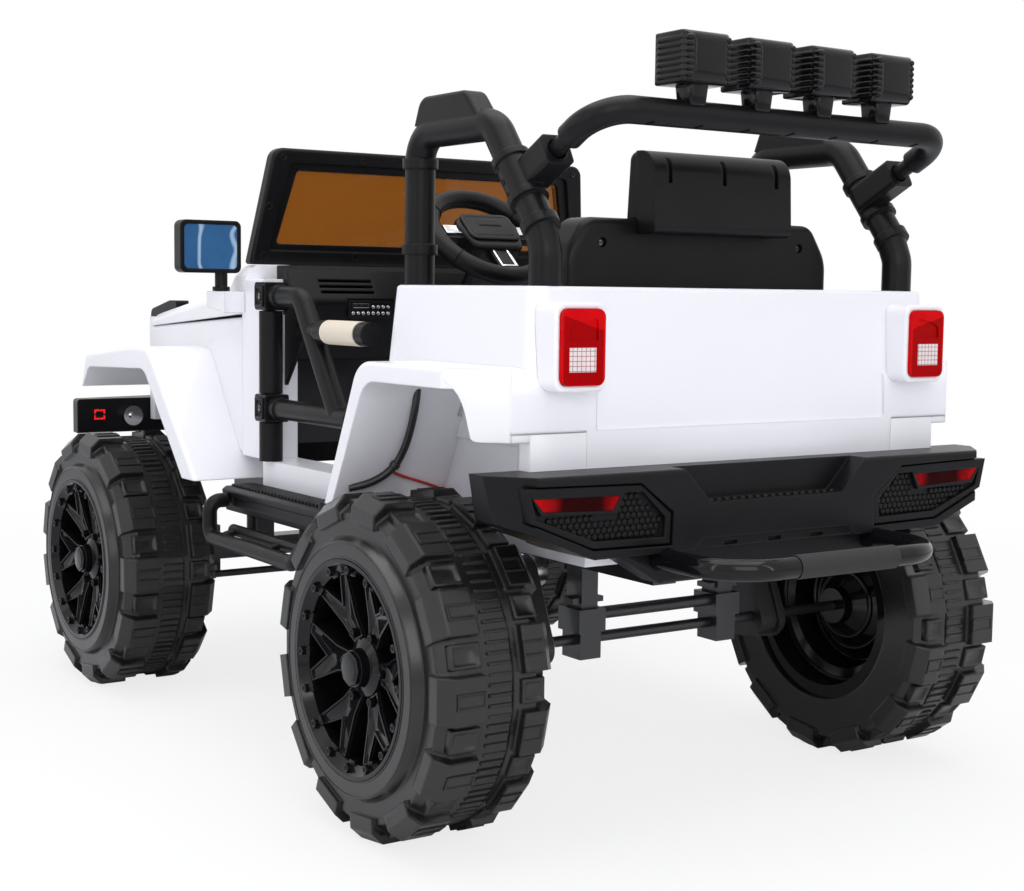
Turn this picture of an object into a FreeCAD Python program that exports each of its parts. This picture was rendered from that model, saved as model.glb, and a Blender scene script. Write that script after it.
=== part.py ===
import FreeCAD
import Part
import math
import os

# A children's battery ride-on off-road car, in millimetres.
# +X is forward, +Y is the car's left, +Z is up. Lengths along X are laid out from the rear axle,
# and the finished pieces are moved so that the origin is under the middle of the car's length.

# Driving dimensions
WHEELBASE = 797.0
TYRE_RADIUS = 178.0
BODY_HALF = 283.0
SILL_TOP = 348.0
BODY_HEIGHT = 218.0
REAR_OVERHANG = 157.0
FRONT_OVERHANG = 133.0
DOOR_REAR = 127.0
DASH_TO_AXLE = 373.0

# Places worked out from them
FRONT_AXLE = WHEELBASE
AXLE_Z = TYRE_RADIUS
DOOR_FRONT = FRONT_AXLE - DASH_TO_AXLE
DOOR_LENGTH = DOOR_FRONT - DOOR_REAR
TUB_REAR = -REAR_OVERHANG
NOSE_X = FRONT_AXLE + FRONT_OVERHANG
TUB_TOP = SILL_TOP + BODY_HEIGHT
WHEEL_PLANE = BODY_HALF + 43.0
FLARE_HALF = BODY_HALF + 67.0
SILL_INNER = BODY_HALF - 48.0

# Clearances
SEAT_GAP = 0.3
BORE_GAP = 0.3
LENS_GAP = 0.2
OVERLAP = 1.0

# Wheels and tyres, measured from the wheel's plane
LUG_OUT = 60.0
LUG_IN = -69.5
STRIP_OUT = 11.0
STRIP_IN = -30.0
TREAD_RADIUS = TYRE_RADIUS - 10.0
SHOULDER_RADIUS = TYRE_RADIUS - 21.0
RING_RADIUS = TYRE_RADIUS - 48.0
BEAD_RADIUS = TYRE_RADIUS - 66.0
RING_OUT = 67.0
LUG_COUNT = 13
LUG_WIDTH = 46.0
LUG_CHAMFER = 12.0
LUG_FOOT = TYRE_RADIUS - 29.0
SHOULDER_WIDTH = 20.0
LUG_RELIEF = 4.0
RIM_GAP = 0.2
RIM_LIP = 68.0
RIM_WALL = 8.0
RING_WIDTH = 14.0
WEB_OUT = 16.0
WEB_THICK = 8.0
HUB_RADIUS = 30.0
HUB_OUT = 50.0
HUB_IN = -40.0
CAP_RADIUS = 19.0
CAP_OUT = 59.6
DISH_IN = -26.0
DISH_RADIUS = BEAD_RADIUS - 33.0
SPOKE_COUNT = 6
SPOKE_STEM = 24.0
SPOKE_ARM = 12.0
SPOKE_SPLIT = 58.0
SPOKE_TOP_HUB = 42.0
SPOKE_TOP_RIM = 57.0
AXLE_RADIUS = 6.0
AXLE_END = 60.0

# Tub
WALL = 12.0
TUB_REAR_TOP = TUB_REAR + 9.0
DOOR_REAR_TOP = DOOR_REAR - 13.0
TUB_TOP_HALF = BODY_HALF - 13.0
TUB_LOW = SILL_TOP + 45.0
TUB_CORNER = 16.0
EDGE_ROUND = 5.0
CAPPING = 48.0
BELLY_HALF = BODY_HALF - 83.0
BELLY_LOW = SILL_TOP - 58.0
FLOOR_TOP = SILL_TOP - 40.0
SILL_LOW = SILL_TOP - 48.0
SEAT_PLINTH_TOP = SILL_TOP + 77.0
SEAT_PLINTH_FRONT = DOOR_REAR + 63.0
SEAT_WELL_FLOOR = SEAT_PLINTH_TOP - WALL
TYRE_ROOM = 12.0

# Rear arches
ARCH_TOP = AXLE_Z + 309.0
ARCH_BAND = 20.0
ARCH_FOOT_X = DOOR_REAR + 7.0
ARCH_FOOT_Z = SILL_TOP - 17.0
ARCH_REAR_LOW = AXLE_Z + 240.0
ARCH_CREST_X = 44.0
ARCH_CORNER = 34.0
CHEEK_X = TUB_REAR + 52.0
CHEEK_HALF = BODY_HALF + 17.0

# Front body
COWL_REAR = DOOR_FRONT
COWL_FRONT = COWL_REAR + 60.0
COWL_TOP = SILL_TOP + 224.0
PILLAR_HALF = 14.0
NOSE_HALF = BODY_HALF - 57.0
NOSE_TOP = SILL_TOP + 154.0
SEAM_REAR = SILL_TOP + 180.0
WELL_HALF = BODY_HALF - 111.0
FRONT_BELLY_LOW = SILL_TOP - 30.0
FRONT_ARCH_TOP = AXLE_Z + 302.0
FRONT_LIP = 28.0
FOOTWELL_DEPTH = 176.0

# Bonnet
BONNET_WALL = 7.0
COWL_PLINTH_TOP = SILL_TOP + 242.1
BONNET_TOP_REAR = SILL_TOP + 215.0
BONNET_TOP_FRONT = SILL_TOP + 173.0
PLINTH_LENGTH = 44.0
PLINTH_SLOPE = 34.0
BONNET_CREST = 14.0

# Windscreen
SCREEN_LOW_X = DOOR_FRONT + 76.0
SCREEN_LOW_Z = COWL_PLINTH_TOP + 0.9
SCREEN_HEIGHT = 148.0
SCREEN_LEAN = 24.0
SCREEN_LOW_HALF = BODY_HALF - 19.0
SCREEN_TAPER = 23.0
SCREEN_THICK = 20.0
SCREEN_BORDER = 27.0
SCREEN_SIDE_BORDER = 36.0
SCREEN_REBATE = 9.0
SCREEN_REBATE_DEPTH = 5.0
PANE_THICK = 4.0

# Roll hoops and light bar
HOOP_Y = BODY_HALF - 39.0
HOOP_RADIUS = 16.5
HOOP_BEND = 32.0
HOOP_ELBOW = 26.0
COLLAR_RADIUS = 19.5
COLLAR_LENGTH = 11.0
HOOP_SOCKET = 18.0
HOOP_HEIGHT = 163.0
HOOP_TOP_Z = TUB_TOP + HOOP_HEIGHT
HOOP_FRONT_X = DOOR_REAR - 16.0
HOOP_REAR_X = TUB_REAR + 29.0
HOOP_LEAN_X = HOOP_REAR_X + 12.0
HOOP_CREST_X = HOOP_REAR_X + 92.0
HOOP_KNEE_Z = TUB_TOP + 62.0
SLEEVE_RADIUS = 20.5
BAR_RADIUS = 13.5
BAR_BEND = 40.0
BAR_X = TUB_REAR - 43.0
BAR_Y = HOOP_Y - 8.0
BAR_Z = HOOP_TOP_Z + 4.0
BAR_FALL = 0.53
BAR_ROD = 8.8
SOCKET_HALF = 16.0
SOCKET_BORE = 10.5
SOCKET_MOUTH = 66.0
LAMP_PITCH = HOOP_Y * 0.344
LAMP_HALF = LAMP_PITCH * 0.285
LAMP_FLARE = 4.0
LAMP_DEPTH = 62.0
LAMP_HEIGHT = 46.0
LAMP_LOW = BAR_Z + 33.0
LAMP_BEHIND = 28.0
LAMP_RIM = 5.0
LAMP_RIBS = 5
LENS_DEPTH = 6.0

# Seat
SEAT_HALF = BODY_HALF - 100.0
SEAT_SHOULDER_HALF = SEAT_HALF - 25.0
SEAT_SHOULDER_Z = TUB_TOP + 72.0
SEAT_BACK_X = TUB_REAR + 77.0
SEAT_BACK_THICK = 48.0
SEAT_FRONT = SEAT_PLINTH_FRONT + 15.0
SEAT_TOP = SEAT_PLINTH_TOP + 45.0
SEAT_ROUND = 9.0
HEAD_HALF = 95.0
HEAD_LOW = SEAT_SHOULDER_Z - 16.0
HEAD_HEIGHT = 86.0
HEAD_REAR = SEAT_BACK_X - 32.0
HEAD_THICK = 56.0
HEAD_SLOT = 26.0

# Steering
STEER_HUB_X = DOOR_FRONT - 73.0
STEER_HUB_Z = SILL_TOP + 282.0
STEER_RIM_RADIUS = 78.0
STEER_RIM_TUBE = 12.0
STEER_PAD_WIDE = 104.0
STEER_PAD_TALL = 70.0
STEER_PAD_THICK = 24.0
SPOKE_WIDE = 20.0
SPOKE_THICK = 10.0

# The drive motors and their two leads, which run along the tub's side wall.
MOTOR_X = 44.0
MOTOR_Z = AXLE_Z + 74.0
MOTOR_RADIUS = 19.0
LEAD_RADIUS = 2.5
LEAD_PITCH = 8.0
LEAD_BEND = 9.0
LEAD_DROP_X = MOTOR_X + MOTOR_RADIUS + 33.0
WALL_LEAD_Z = SILL_TOP - 16.0

# The steering's kingpins, arms and tie rod.
KINGPIN_Y = WHEEL_PLANE - 108.0
KINGPIN_RADIUS = 7.0
ARM_LENGTH = 60.0
ARM_PIN = 4.0
TIE_ROD_RADIUS = 5.0
TIE_ROD_Z = AXLE_Z - 28.0
CRANK_RADIUS = 27.0
CRANK_PIN = 5.0
SLOT_BACK = 12.0
SLOT_PLAY = 1.8
SHAFT_RADIUS = 6.0
SHAFT_ROOM = 12.0

# Rear bumper and tow handle
BUMPER_FACE_X = TUB_REAR - 48.0
BUMPER_TOP = TUB_LOW - 5.0
BUMPER_HALF = BODY_HALF + 55.0
BUMPER_HEIGHT = 82.0
BUMPER_LOW = BUMPER_TOP - BUMPER_HEIGHT
BUMPER_BEND_HALF = BUMPER_HALF - 8.0
BUMPER_END_DROP = 45.0
BUMPER_FLAT_HALF = BODY_HALF - 47.0
STEP_HALF_TOP = 125.0
STEP_HALF_LOW = 91.0
STEP_DROP = 35.0
SKID_LOW = BUMPER_LOW - 34.0
TOW_X = BUMPER_FACE_X - 96.0
TOW_Z = BUMPER_LOW - 7.0
TOW_HALF = 146.0
TOW_BEND = 58.0
TOW_RADIUS = 11.0
GRIP_RADIUS = 12.0
GRIP_HALF = 67.0
INSERT_DEPTH = 12.0

# Front bumper
FRONT_BUMPER_REAR = NOSE_X + 25.0
FRONT_BUMPER_TOP = SILL_TOP + 44.0
FRONT_BUMPER_LOW = SILL_TOP - 7.0
FRONT_BUMPER_HALF = BODY_HALF + 51.0
FRONT_REACH = NOSE_X + 85.0

# Side steps and the tubes under them
STEP_FRONT_X = DOOR_FRONT + 28.0
STEP_REAR_X = ARCH_FOOT_X + 16.0
STEP_BOARD_TOP = SILL_TOP - 34.0
STEP_BOARD_THICK = 26.0
STEP_OUT = BODY_HALF + 43.0
RAIL_RADIUS = 9.0
RAIL_Y = BODY_HALF + 66.0
RAIL_Z = SILL_LOW - 46.0

# Doors
POST_X = DOOR_FRONT - 23.0
POST_RADIUS = 14.5
POST_TOP = SILL_TOP + 214.0
PIN_RADIUS = 6.0
DOOR_TUBE = 12.5
DOOR_BEND = 24.0
DOOR_TOP_Z = SILL_TOP + 203.0
DOOR_LOW_Z = SILL_TOP + 66.0
ARMREST_Z = SILL_TOP + 163.0
ARM_TUBE = 11.0
ARMREST_RADIUS = 14.0
CLIP_SIZE = 34.0

# Frame and axles
FRAME_Y = BODY_HALF - 173.0
FRAME_HALF = 15.0
FRAME_HEIGHT = 26.0
FRAME_LOW = BELLY_LOW - FRAME_HEIGHT
COLUMN_Y = FRAME_Y - 12.0

V = FreeCAD.Vector


def box(x0, x1, y0, y1, z0, z1):
    return Part.makeBox(x1 - x0, y1 - y0, z1 - z0, V(x0, y0, z0))


def rod(start, end, radius):
    a, b = V(*start), V(*end)
    return Part.makeCylinder(radius, (b - a).Length, a, b - a)


def fused(shapes):
    first, rest = shapes[0], shapes[1:]
    return first.fuse(rest).removeSplitter() if rest else first


def mirrored(shape):
    return shape.mirror(V(0, 0, 0), V(0, 1, 0))


def both(shape):
    return Part.makeCompound([shape, mirrored(shape)])


def outline(points, place):
    """A closed wire through (u, v) or (u, v, corner radius) points, put in space by place(u, v)."""
    count = len(points)
    starts, ends, middles = [], [], []
    for i, point in enumerate(points):
        here = V(*place(*point[:2]))
        radius = point[2] if len(point) > 2 else 0
        back = V(*place(*points[i - 1][:2])) - here
        ahead = V(*place(*points[(i + 1) % count][:2])) - here
        back.normalize()
        ahead.normalize()
        if radius == 0:
            starts.append(here)
            ends.append(here)
            middles.append(None)
            continue
        half = back.getAngle(ahead) / 2
        reach = radius / math.tan(half)
        middle = back + ahead
        middle.normalize()
        starts.append(here + back * reach)
        ends.append(here + ahead * reach)
        middles.append(here + middle * (radius / math.sin(half) - radius))
    wire = []
    for i in range(count):
        if middles[i] is not None:
            wire.append(Part.Arc(starts[i], middles[i], ends[i]).toShape())
        following = starts[(i + 1) % count]
        if (following - ends[i]).Length > 1e-6:
            wire.append(Part.LineSegment(ends[i], following).toShape())
    return Part.Wire(wire)


def side_prism(points, y0, y1):
    """A prism across the car from an outline of (x, z) points."""
    face = Part.Face(outline(points, lambda x, z: (x, y0, z)))
    return face.extrude(V(0, y1 - y0, 0))


def cross_prism(points, x0, x1):
    """A prism along the car from an outline of (y, z) points."""
    face = Part.Face(outline(points, lambda y, z: (x0, y, z)))
    return face.extrude(V(x1 - x0, 0, 0))


def plan_prism(points, z0, z1):
    """An upright prism from an outline of (x, y) points."""
    face = Part.Face(outline(points, lambda x, y: (x, y, z0)))
    return face.extrude(V(0, 0, z1 - z0))


def rectangle(y0, y1, z0, z1, corner):
    """Outline points of a rounded rectangle."""
    return [(y0, z0, corner), (y1, z0, corner), (y1, z1, corner), (y0, z1, corner)]


def softened(shape, radius, chosen):
    """Rounds the edges for which chosen(box of the edge) holds."""
    return shape.makeFillet(radius, [edge for edge in shape.Edges if chosen(edge.BoundBox)])


def tube(points, radius, bend):
    """A round tube along straight runs joined by tangent arcs of one bend radius."""
    spots = [V(*p) for p in points]
    runs, last = [], spots[0]
    for before, corner, after in zip(spots, spots[1:], spots[2:]):
        back, ahead = before - corner, after - corner
        back.normalize()
        ahead.normalize()
        half = back.getAngle(ahead) / 2
        reach = bend / math.tan(half)
        middle = back + ahead
        middle.normalize()
        centre = corner + middle * (bend / math.sin(half))
        start = corner + back * reach
        runs.append(rod(last, start, radius))
        disc = Part.Face(Part.Wire(Part.Circle(start, back, radius).toShape()))
        runs.append(disc.revolve(centre, ahead.cross(back), 180 - math.degrees(2 * half)))
        last = corner + ahead * reach
    runs.append(rod(last, spots[-1], radius))
    return fused(runs)


def revolved(points, axis_x, axis_z):
    """A body of revolution about an axis along Y, from an outline of (radius, y) points."""
    wire = outline(points, lambda r, y: (axis_x + r, y, axis_z))
    return Part.Face(wire).revolve(V(axis_x, 0, axis_z), V(0, 1, 0), 360)


def save(name, shape):
    middle = (FRONT_REACH - (GRIP_RADIUS - TOW_X)) / 2
    moved = shape.copy()
    moved.translate(V(-middle, 0, 0))
    moved.exportStep("parts/" + name + ".step")


def radial_block(points, width):
    """A block across the +X radius of a wheel, from an outline of (radius, y) points."""
    face = Part.Face(outline(points, lambda r, y: (r, y, -width / 2)))
    return face.extrude(V(0, 0, width))


def turned(shape, degrees):
    copy = shape.copy()
    copy.rotate(V(0, 0, 0), V(0, 1, 0), degrees)
    return copy


def tread_lug(strip, edge):
    """A broad lug from the tread's middle strip over the shoulder."""
    side = 1 if edge > strip else -1
    tip = math.sqrt(TYRE_RADIUS ** 2 - (LUG_WIDTH / 2) ** 2)
    return radial_block([(TREAD_RADIUS - LUG_CHAMFER, strip), (tip, strip + side * 3),
                         (tip, edge - side * LUG_CHAMFER),
                         (tip - LUG_CHAMFER, edge), (LUG_FOOT, edge), (LUG_FOOT, edge - side * LUG_CHAMFER)],
                        LUG_WIDTH)


def facet_ring(radius, y):
    """A polygon round the wheel with one flat under every lug and one in every gap."""
    flats = 2 * LUG_COUNT
    corner = radius / math.cos(math.pi / flats)
    turns = [2 * math.pi * (i + 0.5 - flats / 4) / flats - math.pi / flats for i in range(flats)]
    points = [V(corner * math.cos(a), y, corner * math.sin(a)) for a in turns]
    return Part.makePolygon(points + points[:1])


def tyre():
    """A moulded tyre about the wheel's own centre, outer side towards +Y, with its lugs fused on."""
    side_in, side_out = LUG_IN + LUG_RELIEF, LUG_OUT - LUG_RELIEF
    walls = revolved([
        (BEAD_RADIUS, side_in),
        (LUG_FOOT, side_in),
        (LUG_FOOT, side_out),
        (RING_RADIUS + 5, side_out),
        (RING_RADIUS, RING_OUT),
        (BEAD_RADIUS, RING_OUT),
    ], 0, 0)
    belt = Part.makeLoft([facet_ring(r, y) for r, y in (
        (SHOULDER_RADIUS, side_in),
        (TREAD_RADIUS, LUG_IN + SHOULDER_WIDTH),
        (TREAD_RADIUS, LUG_OUT - SHOULDER_WIDTH),
        (SHOULDER_RADIUS, side_out),
    )], True, True)
    belt = belt.cut(rod((0, LUG_IN, 0), (0, LUG_OUT, 0), RING_RADIUS))
    pitch = 360 / LUG_COUNT
    outer, inner = tread_lug(STRIP_OUT, LUG_OUT), tread_lug(STRIP_IN, LUG_IN)
    lugs = []
    for i in range(LUG_COUNT):
        lugs.append(turned(outer, 90 + pitch * (i + 0.25)))
        lugs.append(turned(inner, 90 + pitch * (i - 0.25)))
    return fused([walls, belt] + lugs)


def fork_spoke():
    """One forked spoke, rising from the hub to the ring with a sloping top."""
    ring = BEAD_RADIUS - RING_WIDTH + 2
    stem = SPOKE_STEM / 2
    spread = math.radians(360 / SPOKE_COUNT / 4)
    across, along = ring * math.sin(spread), ring * math.cos(spread)
    half = [(HUB_RADIUS - 6, stem - 3), (SPOKE_SPLIT - 6, stem + 2), (along - 4, across + SPOKE_ARM / 2),
            (along - 1, across - SPOKE_ARM / 2), (SPOKE_SPLIT + SPOKE_ARM, 0)]
    other = [(x, -z) for x, z in reversed(half[:-1])]
    face = Part.Face(outline(half + other, lambda x, z: (x, WEB_OUT - OVERLAP, z)))
    column = face.extrude(V(0, SPOKE_TOP_RIM - WEB_OUT + OVERLAP, 0))
    slope = radial_block([(0, 0), (ring + OVERLAP, 0), (ring + OVERLAP, SPOKE_TOP_RIM),
                          (HUB_RADIUS, SPOKE_TOP_HUB),
                          (0, SPOKE_TOP_HUB)], ring)
    return column.common(slope)


def rim():
    """The wheel inside the tyre: barrel, web, hub, stepped inner dish and six forked spokes."""
    outer = BEAD_RADIUS - RIM_GAP
    inner = outer - RIM_WALL
    bore = AXLE_RADIUS + BORE_GAP
    neck = HUB_RADIUS - 8
    dish = revolved([
        (bore, HUB_IN),
        (neck, HUB_IN),
        (neck, DISH_IN),
        (DISH_RADIUS, WEB_OUT - WEB_THICK),
        (DISH_RADIUS, DISH_IN),
        (inner - WEB_THICK, DISH_IN - 6),
        (inner - WEB_THICK, -LUG_OUT),
        (outer, -LUG_OUT),
        (outer, RIM_LIP),
        (inner + 4, RIM_LIP),
        (BEAD_RADIUS - RING_WIDTH, SPOKE_TOP_RIM + 2),
        (BEAD_RADIUS - RING_WIDTH, SPOKE_TOP_RIM - 8),
        (inner, WEB_OUT),
        (HUB_RADIUS + 4, WEB_OUT),
        (HUB_RADIUS, HUB_OUT - 4),
        (CAP_RADIUS + 1, HUB_OUT),
        (CAP_RADIUS, CAP_OUT),
        (bore, CAP_OUT),
    ], 0, 0)
    spoke = fork_spoke()
    spokes = [turned(spoke, i * 360 / SPOKE_COUNT) for i in range(SPOKE_COUNT)]
    return fused([dish] + spokes)


def wheels():
    one_tyre, one_rim = tyre(), rim()
    for end, x in (("rear", 0), ("front", FRONT_AXLE)):
        for side in ("left", "right"):
            for name, shape in (("tyre", one_tyre), ("rim", one_rim)):
                piece = shape.copy()
                piece.translate(V(x, WHEEL_PLANE, AXLE_Z))
                save(name + "_" + end + "_" + side, piece if side == "left" else mirrored(piece))


def arch_outline(grow):
    """The rear arch's outline in (x, z); grow sets it out from the opening."""
    return [
        (ARCH_FOOT_X - ARCH_BAND + grow, ARCH_FOOT_Z - OVERLAP),
        (ARCH_CREST_X + grow * 0.8, ARCH_TOP - ARCH_BAND + grow, ARCH_CORNER),
        (TUB_REAR + 23 - grow, ARCH_TOP - ARCH_BAND + grow, ARCH_CORNER - 8),
        (TUB_REAR - 3 - grow * 0.2, ARCH_REAR_LOW, 8),
    ]


def arch_block():
    """The rear arch as a solid band standing out from the tub's side, with a soft outer edge."""
    foot, crest = arch_outline(ARCH_BAND)[:2]
    outer = [foot, crest, (TUB_REAR, ARCH_TOP, ARCH_CORNER - 8), (TUB_REAR, ARCH_REAR_LOW),
             (TUB_REAR, ARCH_FOOT_Z - OVERLAP)]
    block = side_prism(outer, BELLY_HALF, FLARE_HALF)
    corner = plan_prism([(CHEEK_X, FLARE_HALF + OVERLAP), (TUB_REAR - OVERLAP, CHEEK_HALF),
                         (TUB_REAR - OVERLAP, FLARE_HALF + OVERLAP)], BELLY_LOW, ARCH_TOP + OVERLAP)
    block = block.cut(corner)
    return softened(block, EDGE_ROUND, lambda b: b.YMin > FLARE_HALF - 0.1 and b.ZMax > ARCH_FOOT_Z
                    and b.XMax - b.XMin > 1 and b.XMax > CHEEK_X + 1)


def arch_opening():
    foot, crest, rear, low = arch_outline(0)
    behind, below = TUB_REAR - 20, foot[1] - 30
    opening = [(foot[0] + 8, below), foot, crest, rear, low, (behind, ARCH_REAR_LOW), (behind, below)]
    return side_prism(opening, BELLY_HALF + WALL, FLARE_HALF + 5)


def tub_box():
    """The upright rear of the body, narrower at its top, with a soft top edge."""
    low = outline([(DOOR_REAR, -BODY_HALF), (DOOR_REAR, BODY_HALF), (TUB_REAR, BODY_HALF, TUB_CORNER),
                   (TUB_REAR, -BODY_HALF, TUB_CORNER)], lambda x, y: (x, y, TUB_LOW))
    top = outline([(DOOR_REAR_TOP, -TUB_TOP_HALF), (DOOR_REAR_TOP, TUB_TOP_HALF),
                   (TUB_REAR_TOP, TUB_TOP_HALF, TUB_CORNER), (TUB_REAR_TOP, -TUB_TOP_HALF, TUB_CORNER)],
                  lambda x, y: (x, y, TUB_TOP))
    return softened(Part.makeLoft([low, top], True), EDGE_ROUND - 1,
                    lambda b: b.ZMin > TUB_TOP - 0.1)


def hoop_sockets():
    """Round pockets in the tub's top edge, one for each foot of the two roll hoops."""
    return [rod((x, s * HOOP_Y, TUB_TOP - HOOP_SOCKET), (x, s * HOOP_Y, TUB_TOP + OVERLAP),
                HOOP_RADIUS + RIM_GAP)
            for x in (HOOP_FRONT_X, HOOP_REAR_X) for s in (1, -1)]


def body_tub():
    """Belly, sills, seat plinth, upright rear and rear arches: one moulding, open inside."""
    high = TUB_TOP + OVERLAP
    belly = box(TUB_REAR, DOOR_FRONT, -BELLY_HALF - WALL, BELLY_HALF + WALL, BELLY_LOW, SEAT_PLINTH_TOP)
    sills = box(ARCH_FOOT_X - 20, DOOR_FRONT, -BODY_HALF, BODY_HALF, SILL_LOW, SILL_TOP)
    shell = fused([tub_box(), belly, sills, arch_block(), mirrored(arch_block())])
    inner = TUB_TOP_HALF - CAPPING
    cabin_front = box(SEAT_PLINTH_FRONT, DOOR_FRONT + OVERLAP, -SILL_INNER, SILL_INNER, FLOOR_TOP, high)
    over_sill = box(DOOR_REAR + 8, DOOR_FRONT + OVERLAP, BELLY_HALF + WALL + OVERLAP, FLARE_HALF, SILL_TOP,
                    high)
    well = box(TUB_REAR_TOP + CAPPING - 8, SEAT_PLINTH_FRONT + OVERLAP, -inner, inner, SEAT_PLINTH_TOP, high)
    doorway = box(DOOR_REAR_TOP - 30, DOOR_FRONT, -inner, inner, SEAT_PLINTH_TOP, high)
    under = box(TUB_REAR + WALL, SEAT_PLINTH_FRONT - WALL, -BELLY_HALF + WALL, BELLY_HALF - WALL,
                BELLY_LOW + WALL, SEAT_WELL_FLOOR)
    tyre_room = [rod((0, s * (BELLY_HALF + WALL), AXLE_Z), (0, s * FLARE_HALF * 1.1, AXLE_Z),
                     TYRE_RADIUS + TYRE_ROOM)
                 for s in (1, -1)]
    opening = arch_opening()
    shell = shell.cut(tyre_room)
    shell = shell.cut([cabin_front, well, doorway, under, opening, mirrored(opening), over_sill,
                       mirrored(over_sill)] + hoop_sockets())
    return shell


def front_section(x, half, low, top):
    return outline([(-half, low, 6), (half, low, 6), (half, top, 6), (-half, top, 6)],
                   lambda y, z: (x, y, z))


def front_arch():
    """One front arch: a curved wing from behind the wheel, over it and down to the nose, with a soft lip."""
    top, foot = FRONT_ARCH_TOP, SILL_TOP - 30
    points = [(COWL_REAR + 57, foot), (FRONT_AXLE - 161, top - 2, 30), (FRONT_AXLE - 107, top),
              (FRONT_AXLE + 76, top - 17, 14), (FRONT_AXLE + 95, top - 64), (FRONT_AXLE + 89, top - 64),
              (FRONT_AXLE + 63, top - 34, 18), (FRONT_AXLE - 147, top - FRONT_LIP, 30),
              (COWL_REAR + 98, foot)]
    wing = side_prism(points, WELL_HALF, FLARE_HALF)
    return softened(wing, EDGE_ROUND, lambda b: b.YMin > FLARE_HALF - 0.1 and b.ZMax > top - FRONT_LIP + 4
                    and b.XMin < FRONT_AXLE + 90 and b.XMax - b.XMin > 12)


def front_arch_opening():
    top, foot = FRONT_ARCH_TOP, SILL_TOP - 30
    ahead, below = NOSE_X + 20, SILL_TOP - 50
    return side_prism([(COWL_REAR + 98, below), (COWL_REAR + 98, foot), (FRONT_AXLE - 147, top - FRONT_LIP,
                                                                         30),
                       (ahead, top - FRONT_LIP - 6), (ahead, below)], WELL_HALF, FLARE_HALF + 5)


def front_body():
    """Cowl sides, inner nose and the front arches, in one moulding."""
    cowl = Part.makeLoft([front_section(COWL_REAR, BODY_HALF, SILL_TOP, SEAM_REAR),
                          front_section(NOSE_X, NOSE_HALF, SILL_TOP, NOSE_TOP)], True)
    pillar = box(COWL_REAR, COWL_FRONT, BODY_HALF - 2 * PILLAR_HALF, BODY_HALF, SILL_TOP, COWL_TOP)
    pillar = softened(pillar, EDGE_ROUND, lambda b: b.ZMin > COWL_TOP - 0.1 and b.YMin > BODY_HALF - 0.1)
    room = rod(shaft_point(-40), shaft_point(shaft_length()), SHAFT_ROOM)
    footwell = box(COWL_REAR - OVERLAP, COWL_REAR + FOOTWELL_DEPTH, -SILL_INNER, SILL_INNER, FLOOR_TOP + WALL,
                   SEAM_REAR + 60)
    opening = front_arch_opening()
    shell = cowl.cut([opening, mirrored(opening)])
    shell = fused([shell, pillar, mirrored(pillar), front_arch(), mirrored(front_arch())])
    belly_cut = box(COWL_REAR + FOOTWELL_DEPTH, NOSE_X + 5, -WELL_HALF - 5, WELL_HALF + 5, SILL_TOP - 53,
                    FRONT_BELLY_LOW)
    return shell.cut([footwell, room, belly_cut])


def bonnet_section(x, half, low, top, corner, crest):
    return outline([(-half, low), (half, low), (half, top - corner, corner / 2), (half - corner, top, corner),
                    (0, top + crest, 300), (corner - half, top, corner), (-half, top - corner, corner / 2)],
                   lambda y, z: (x, y, z))


def bonnet_form(drop):
    """The bonnet as a solid, set in by drop: raised plinth at the screen, slope, then the crowned panel."""
    shift = drop * 2
    rear, plinth_end = COWL_FRONT + SEAT_GAP, COWL_FRONT + PLINTH_LENGTH
    slope_end = plinth_end + PLINTH_SLOPE
    low = SEAM_REAR + SEAT_GAP - shift
    raised = COWL_PLINTH_TOP - drop
    at_rear = bonnet_section(rear - shift, BODY_HALF - 4 - drop, low, raised, 16, 0.5)
    at_plinth = bonnet_section(plinth_end, BODY_HALF - 9 - drop, low - 2.3, raised, 16, 0.5)
    at_slope = bonnet_section(slope_end, BODY_HALF - 13 - drop, low - 4.3, BONNET_TOP_REAR - drop, 15, 8)
    at_nose = bonnet_section(NOSE_X, NOSE_HALF - drop, NOSE_TOP + SEAT_GAP - shift, BONNET_TOP_FRONT - drop,
                             12,
                             BONNET_CREST)
    return fused([Part.makeLoft(pair, True, True) for pair in
                  ([at_rear, at_plinth], [at_plinth, at_slope], [at_slope, at_nose])])


def bonnet():
    """The bonnet, crowned across and falling towards the nose, with the raised cowl behind it."""
    form = bonnet_form(0)
    shell = form.cut(bonnet_form(BONNET_WALL))
    high = COWL_PLINTH_TOP + OVERLAP
    lip = form.common(box(NOSE_X - BONNET_WALL, NOSE_X, -NOSE_HALF, NOSE_HALF, NOSE_TOP, high))
    back = form.common(box(COWL_FRONT, COWL_FRONT + BONNET_WALL, -BODY_HALF, BODY_HALF, SEAM_REAR + 40, high))
    return fused([shell, lip, back])


def grille():
    """The nose panel with wide slots between the lamps, below the bonnet's front edge."""
    front, low = NOSE_X + 22, NOSE_TOP - 142
    panel = box(NOSE_X + SEAT_GAP, front, -NOSE_HALF + 4, NOSE_HALF - 4, low, NOSE_TOP + 14)
    slots = [box(NOSE_X + 8, front + OVERLAP, -90, 90, low + 38 + 20 * i, low + 50 + 20 * i)
             for i in range(4)]
    return softened(panel, EDGE_ROUND, lambda b: b.XMin > front - 0.1).cut(slots)


def headlamps():
    """Round headlamps on the nose panel, each a lens standing in a ring."""
    x, y, z = NOSE_X + 22 + SEAT_GAP, NOSE_HALF - 76, NOSE_TOP - 62
    ring = rod((x, y, z), (x + 12, y, z), 40).cut(rod((x + 6, y, z), (x + 13, y, z), 33))
    lens = rod((x + 5, y, z), (x + 10, y, z), 33.5)
    return both(fused([ring, lens]))


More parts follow.
